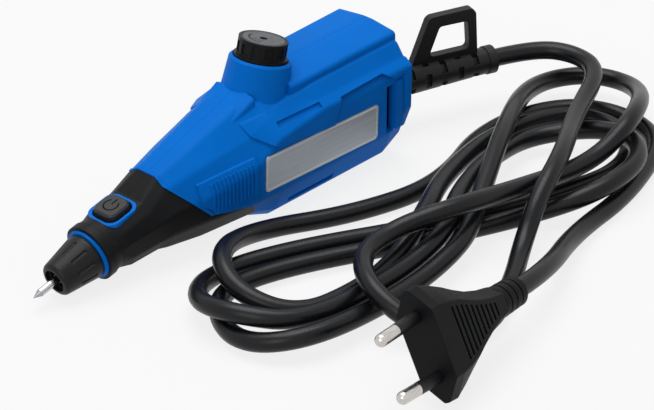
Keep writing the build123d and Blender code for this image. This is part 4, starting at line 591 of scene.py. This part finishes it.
# Push button: black, with a bevelled top and a mark of a broken ring and a bar on it.
# The mark is a dull black line laid on the top, and its gap faces the tail.
BUTTON_TOP = (-0.041722, 0.0, 0.023561)
MARK_RADIUS = 0.0024
MARK_WIDTH = 0.00055
MARK_HEIGHT = 0.00003
MARK_GAP = 38.0
MARK_BAR = (0.0002, 0.0031)
MARK_STEPS = 73
BAR_STEPS = 25
MARK_TONE = (0.003, 0.003, 0.003)
BUTTON_TONE = (0.016, 0.0165, 0.0175)
button_black = moulded(
    "black_button_moulded", BUTTON_TONE, roughness=0.42, gloss=0.3, grain=0.0005, depth=0.00001,
    edge=0.0004, spread=0.12,
)
dress(button_black, "power_button")
dull_black = moulded("dull_black_mark", MARK_TONE, roughness=0.8, gloss=0.1, grain=0.0004, depth=0.000004)
ring_turn = np.radians(np.linspace(MARK_GAP, 360 - MARK_GAP, MARK_STEPS))[:, None]
ring_side = np.cos(ring_turn) * nose_along + np.sin(ring_turn) * nose_side
ring_path = np.array(BUTTON_TOP) + MARK_RADIUS * ring_side
ring_mark = bead("button_ring_mark", ring_path, ring_side, nose_up, MARK_WIDTH, MARK_HEIGHT, False)
bar_run = np.linspace(MARK_BAR[0], MARK_BAR[1], BAR_STEPS)[:, None]
bar_path = np.array(BUTTON_TOP) + bar_run * nose_along
bar_side = np.repeat(nose_side[None, :], BAR_STEPS, axis=0)
bar_mark = bead("button_bar_mark", bar_path, bar_side, nose_up, MARK_WIDTH, MARK_HEIGHT, False)
for mark in (ring_mark, bar_mark):
    mark.data.materials.append(dull_black)
    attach(mark, "push_button")

# Stroke knob: a black knob with sunk panels round its side, on a steel spindle held by a clip.
# The dark grey disc let into its top carries two thin near-black arcs laid on it: painted shade where its
# ring grooves lie in shade.
KNOB_LEAN = 14.4
DISC_TOP = (0.026066, 0.0, 0.055289)
DISC_TONE = (0.048, 0.051, 0.06)
# Painted shade: the tone of the two arcs that stand in for the shade in the disc's ring grooves.
GROOVE_SHADE_TONE = (0.02, 0.02, 0.022)
OUTER_RADIUS = 0.0047
OUTER_TURN = (95.0, 215.0)
OUTER_WIDTH = 0.0006
INNER_RADIUS = 0.0029
INNER_TURN = (150.0, 230.0)
INNER_WIDTH = 0.00035
SHADE_ARC_HEIGHT = 0.00002
SHADE_ARC_STEPS = 49
DISC_GRAIN = (0.002, 0.002, 0.002)
SPINDLE_LINES = (0.006, 0.006, 0.0002)
knob_black = moulded(
    "black_knob_moulded", GRIP_TONE, roughness=0.4, gloss=0.12, grain=0.0005, depth=0.00002,
    edge=0.0003, spread=0.18,
)
disc_finish = cut_metal(
    "knob_print_grey", DISC_TONE, roughness=0.4, dip=-KNOB_LEAN, lines=DISC_GRAIN, depth=0.000004, metal=0.3,
)
knob_steel = cut_metal(
    "plain_steel_spindle", STEEL_TONE, roughness=0.3, dip=-KNOB_LEAN, lines=SPINDLE_LINES, depth=0.000006,
)
# Dull near-black finish of the painted groove shade on the disc.
groove_shade_finish = moulded("painted_groove_shade", GROOVE_SHADE_TONE, roughness=0.7, gloss=0.15, grain=0.0004, depth=0.000003)
dress(knob_black, "depth_knob")
dress(disc_finish, "knob_disc")
dress(knob_steel, "stop_spindle", "spindle_clip")
disc_along = np.array([math.cos(math.radians(KNOB_LEAN)), 0, -math.sin(math.radians(KNOB_LEAN))])
disc_up = np.array([math.sin(math.radians(KNOB_LEAN)), 0, math.cos(math.radians(KNOB_LEAN))])
groove_shade_arcs = {
    "disc_outer_groove_shade": (OUTER_RADIUS, OUTER_TURN, OUTER_WIDTH),
    "disc_inner_groove_shade": (INNER_RADIUS, INNER_TURN, INNER_WIDTH),
}
# Each arc is a low dark bead of painted shade along part of a ring groove.
for shade_arc_name, (radius, turns, width) in groove_shade_arcs.items():
    arc_turn = np.radians(np.linspace(turns[0], turns[1], SHADE_ARC_STEPS))[:, None]
    arc_side = np.cos(arc_turn) * disc_along + np.sin(arc_turn) * nose_side
    arc_path = np.array(DISC_TOP) + radius * arc_side
    arc = bead(shade_arc_name, arc_path, arc_side, disc_up, width, SHADE_ARC_HEIGHT, False)
    arc.data.materials.append(groove_shade_finish)
    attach(arc, "stroke_knob")

# Strain relief: a slotted black rubber sleeve moulded onto the cord, with a hanging loop on top.
# Its flange sits inside the tail, between the two housing halves, and keeps it from pulling out.
RUBBER_TONE = (0.0055, 0.0057, 0.0062)
rubber = moulded(
    "cord_rubber_moulded", RUBBER_TONE, roughness=0.46, gloss=0.25, grain=0.0005, depth=0.00002,
    edge=0.0003, spread=0.15,
)
dress(rubber, "strain_relief")

# Mains cord: black rubber-sheathed flex that leaves the strain relief, lies in loose loops on the
# table beside the tool and ends in the neck of the plug. It is extruded, so its skin is smooth.
SHEATH_TONE = (0.0036, 0.0040, 0.0052)
CORD_RADIUS = 0.0031
CORD_START = (0.121225, -0.015027, 0.017)
CORD_POINTS = [
    CORD_START, (0.137011, -0.020773, 0.017), (0.1435, -0.0335, 0.017), (0.1395, -0.047, 0.0165),
    (0.111, -0.0595, 0.016), (0.081, -0.078, 0.0205), (0.063, -0.084, 0.0165), (0.05, -0.088, 0.0045),
    (0.032, -0.099, 0.0032), (0.007, -0.11, 0.0032), (-0.011, -0.098, 0.0075), (-0.012, -0.08, 0.014),
    (0.0, -0.065, 0.014), (0.018, -0.063, 0.0145), (0.033, -0.073, 0.0195), (0.063, -0.075, 0.0145),
    (0.099, -0.077, 0.0095), (0.119, -0.079, 0.021), (0.153, -0.055, 0.008), (0.151, -0.034, 0.007),
    (0.132, -0.023, 0.006), (0.089, -0.048, 0.018), (0.052, -0.068, 0.0105), (0.034, -0.078, 0.0085),
    (0.004, -0.08, 0.0045), (-0.038, -0.08, 0.008), (-0.05, -0.06, 0.0032), (-0.036, -0.037, 0.0032),
    (-0.013, -0.0385, 0.0032), (0.032, -0.061, 0.0032), (0.066, -0.076, 0.0032), (0.085, -0.092, 0.011),
    (0.113, -0.088, 0.011), (0.122, -0.069, 0.0105), (0.108, -0.045, 0.0045), (0.08, -0.049, 0.0085),
    (0.052, -0.059, 0.0105), (0.034, -0.071, 0.01), (0.008, -0.073, 0.006), (-0.033, -0.073, 0.0085),
    (-0.047, -0.058, 0.0115), (-0.046, -0.039, 0.008), (-0.027, -0.027, 0.0032), (0.001, -0.0355, 0.0032),
    (0.04, -0.057, 0.0032), (0.08, -0.073, 0.0032), (0.11, -0.081, 0.0032), (0.133, -0.067, 0.0032),
    (0.13, -0.044, 0.004), (0.098, -0.037, 0.0065), (0.06, -0.047, 0.01), (0.034, -0.061, 0.012),
    (0.018, -0.065, 0.005), (-0.001, -0.067, 0.0032), (-0.026, -0.064, 0.0035), (-0.035, -0.047, 0.0085),
    (-0.027, -0.03, 0.013), (0.001, -0.02, 0.004), (0.03, -0.035, 0.0032), (0.063, -0.043, 0.0032),
    (0.103, -0.028, 0.0032), (0.139, -0.041, 0.0032), (0.14, -0.076, 0.0032), (0.101, -0.091, 0.0032),
    (0.068, -0.094, 0.0032), (0.033939, -0.110895, 0.0125), (0.016125, -0.112894, 0.014131),
]
cord_line = bpy.data.curves.new("cord_run", "CURVE")
cord_line.dimensions = "3D"
cord_spline = cord_line.splines.new("NURBS")
cord_spline.points.add(len(CORD_POINTS) - 1)
cord_spline.points.foreach_set("co", np.column_stack([CORD_POINTS, np.ones(len(CORD_POINTS))]).ravel())
cord_spline.order_u = 3
cord_spline.use_endpoint_u = True
cord_line.resolution_u = 12
cord_line.bevel_depth = CORD_RADIUS
cord_line.bevel_resolution = 6
cord_line.use_fill_caps = True
sheath = moulded(
    "cord_sheath_extruded", SHEATH_TONE, roughness=0.32, gloss=0.24, grain=0.0009, depth=0.000006,
    spread=0.15,
)
cord_line.materials.append(sheath)
cord_run = bpy.data.objects.new("cord_run", cord_line)
bpy.context.scene.collection.objects.link(cord_run)
dress(rubber, "inner_cord", "mains_cord")
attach(cord_run, "housing")
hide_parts("mains_cord")

# Plug: a flat two-pin plug moulded onto the cord, with grip grooves and a ringed neck.
# Its skin is coarsely eroded, the pins are nickel-plated and their roots sleeved in black.
PLUG_TONE = (0.0034, 0.0037, 0.0045)
NICKEL_TONE = (0.58, 0.55, 0.52)
PLATED_LINES = (0.003, 0.0006, 0.0006)
plug_rubber = moulded(
    "plug_rubber_moulded", PLUG_TONE, roughness=0.5, gloss=0.11, grain=0.0007, depth=0.00006,
    edge=0.0004, spread=0.25,
)
sleeve_black = moulded(
    "pin_black_sleeve", PLUG_TONE, roughness=0.42, gloss=0.3, grain=0.0005, depth=0.00001,
    edge=0.0002, spread=0.15,
)
pin_nickel = cut_metal(
    "pin_nickel_plated", NICKEL_TONE, roughness=0.24, dip=0.0, lines=PLATED_LINES, depth=0.000001,
)
dress(plug_rubber, "plug_body")
dress(sleeve_black, "pin_sleeves")
dress(pin_nickel, "plug_pins")
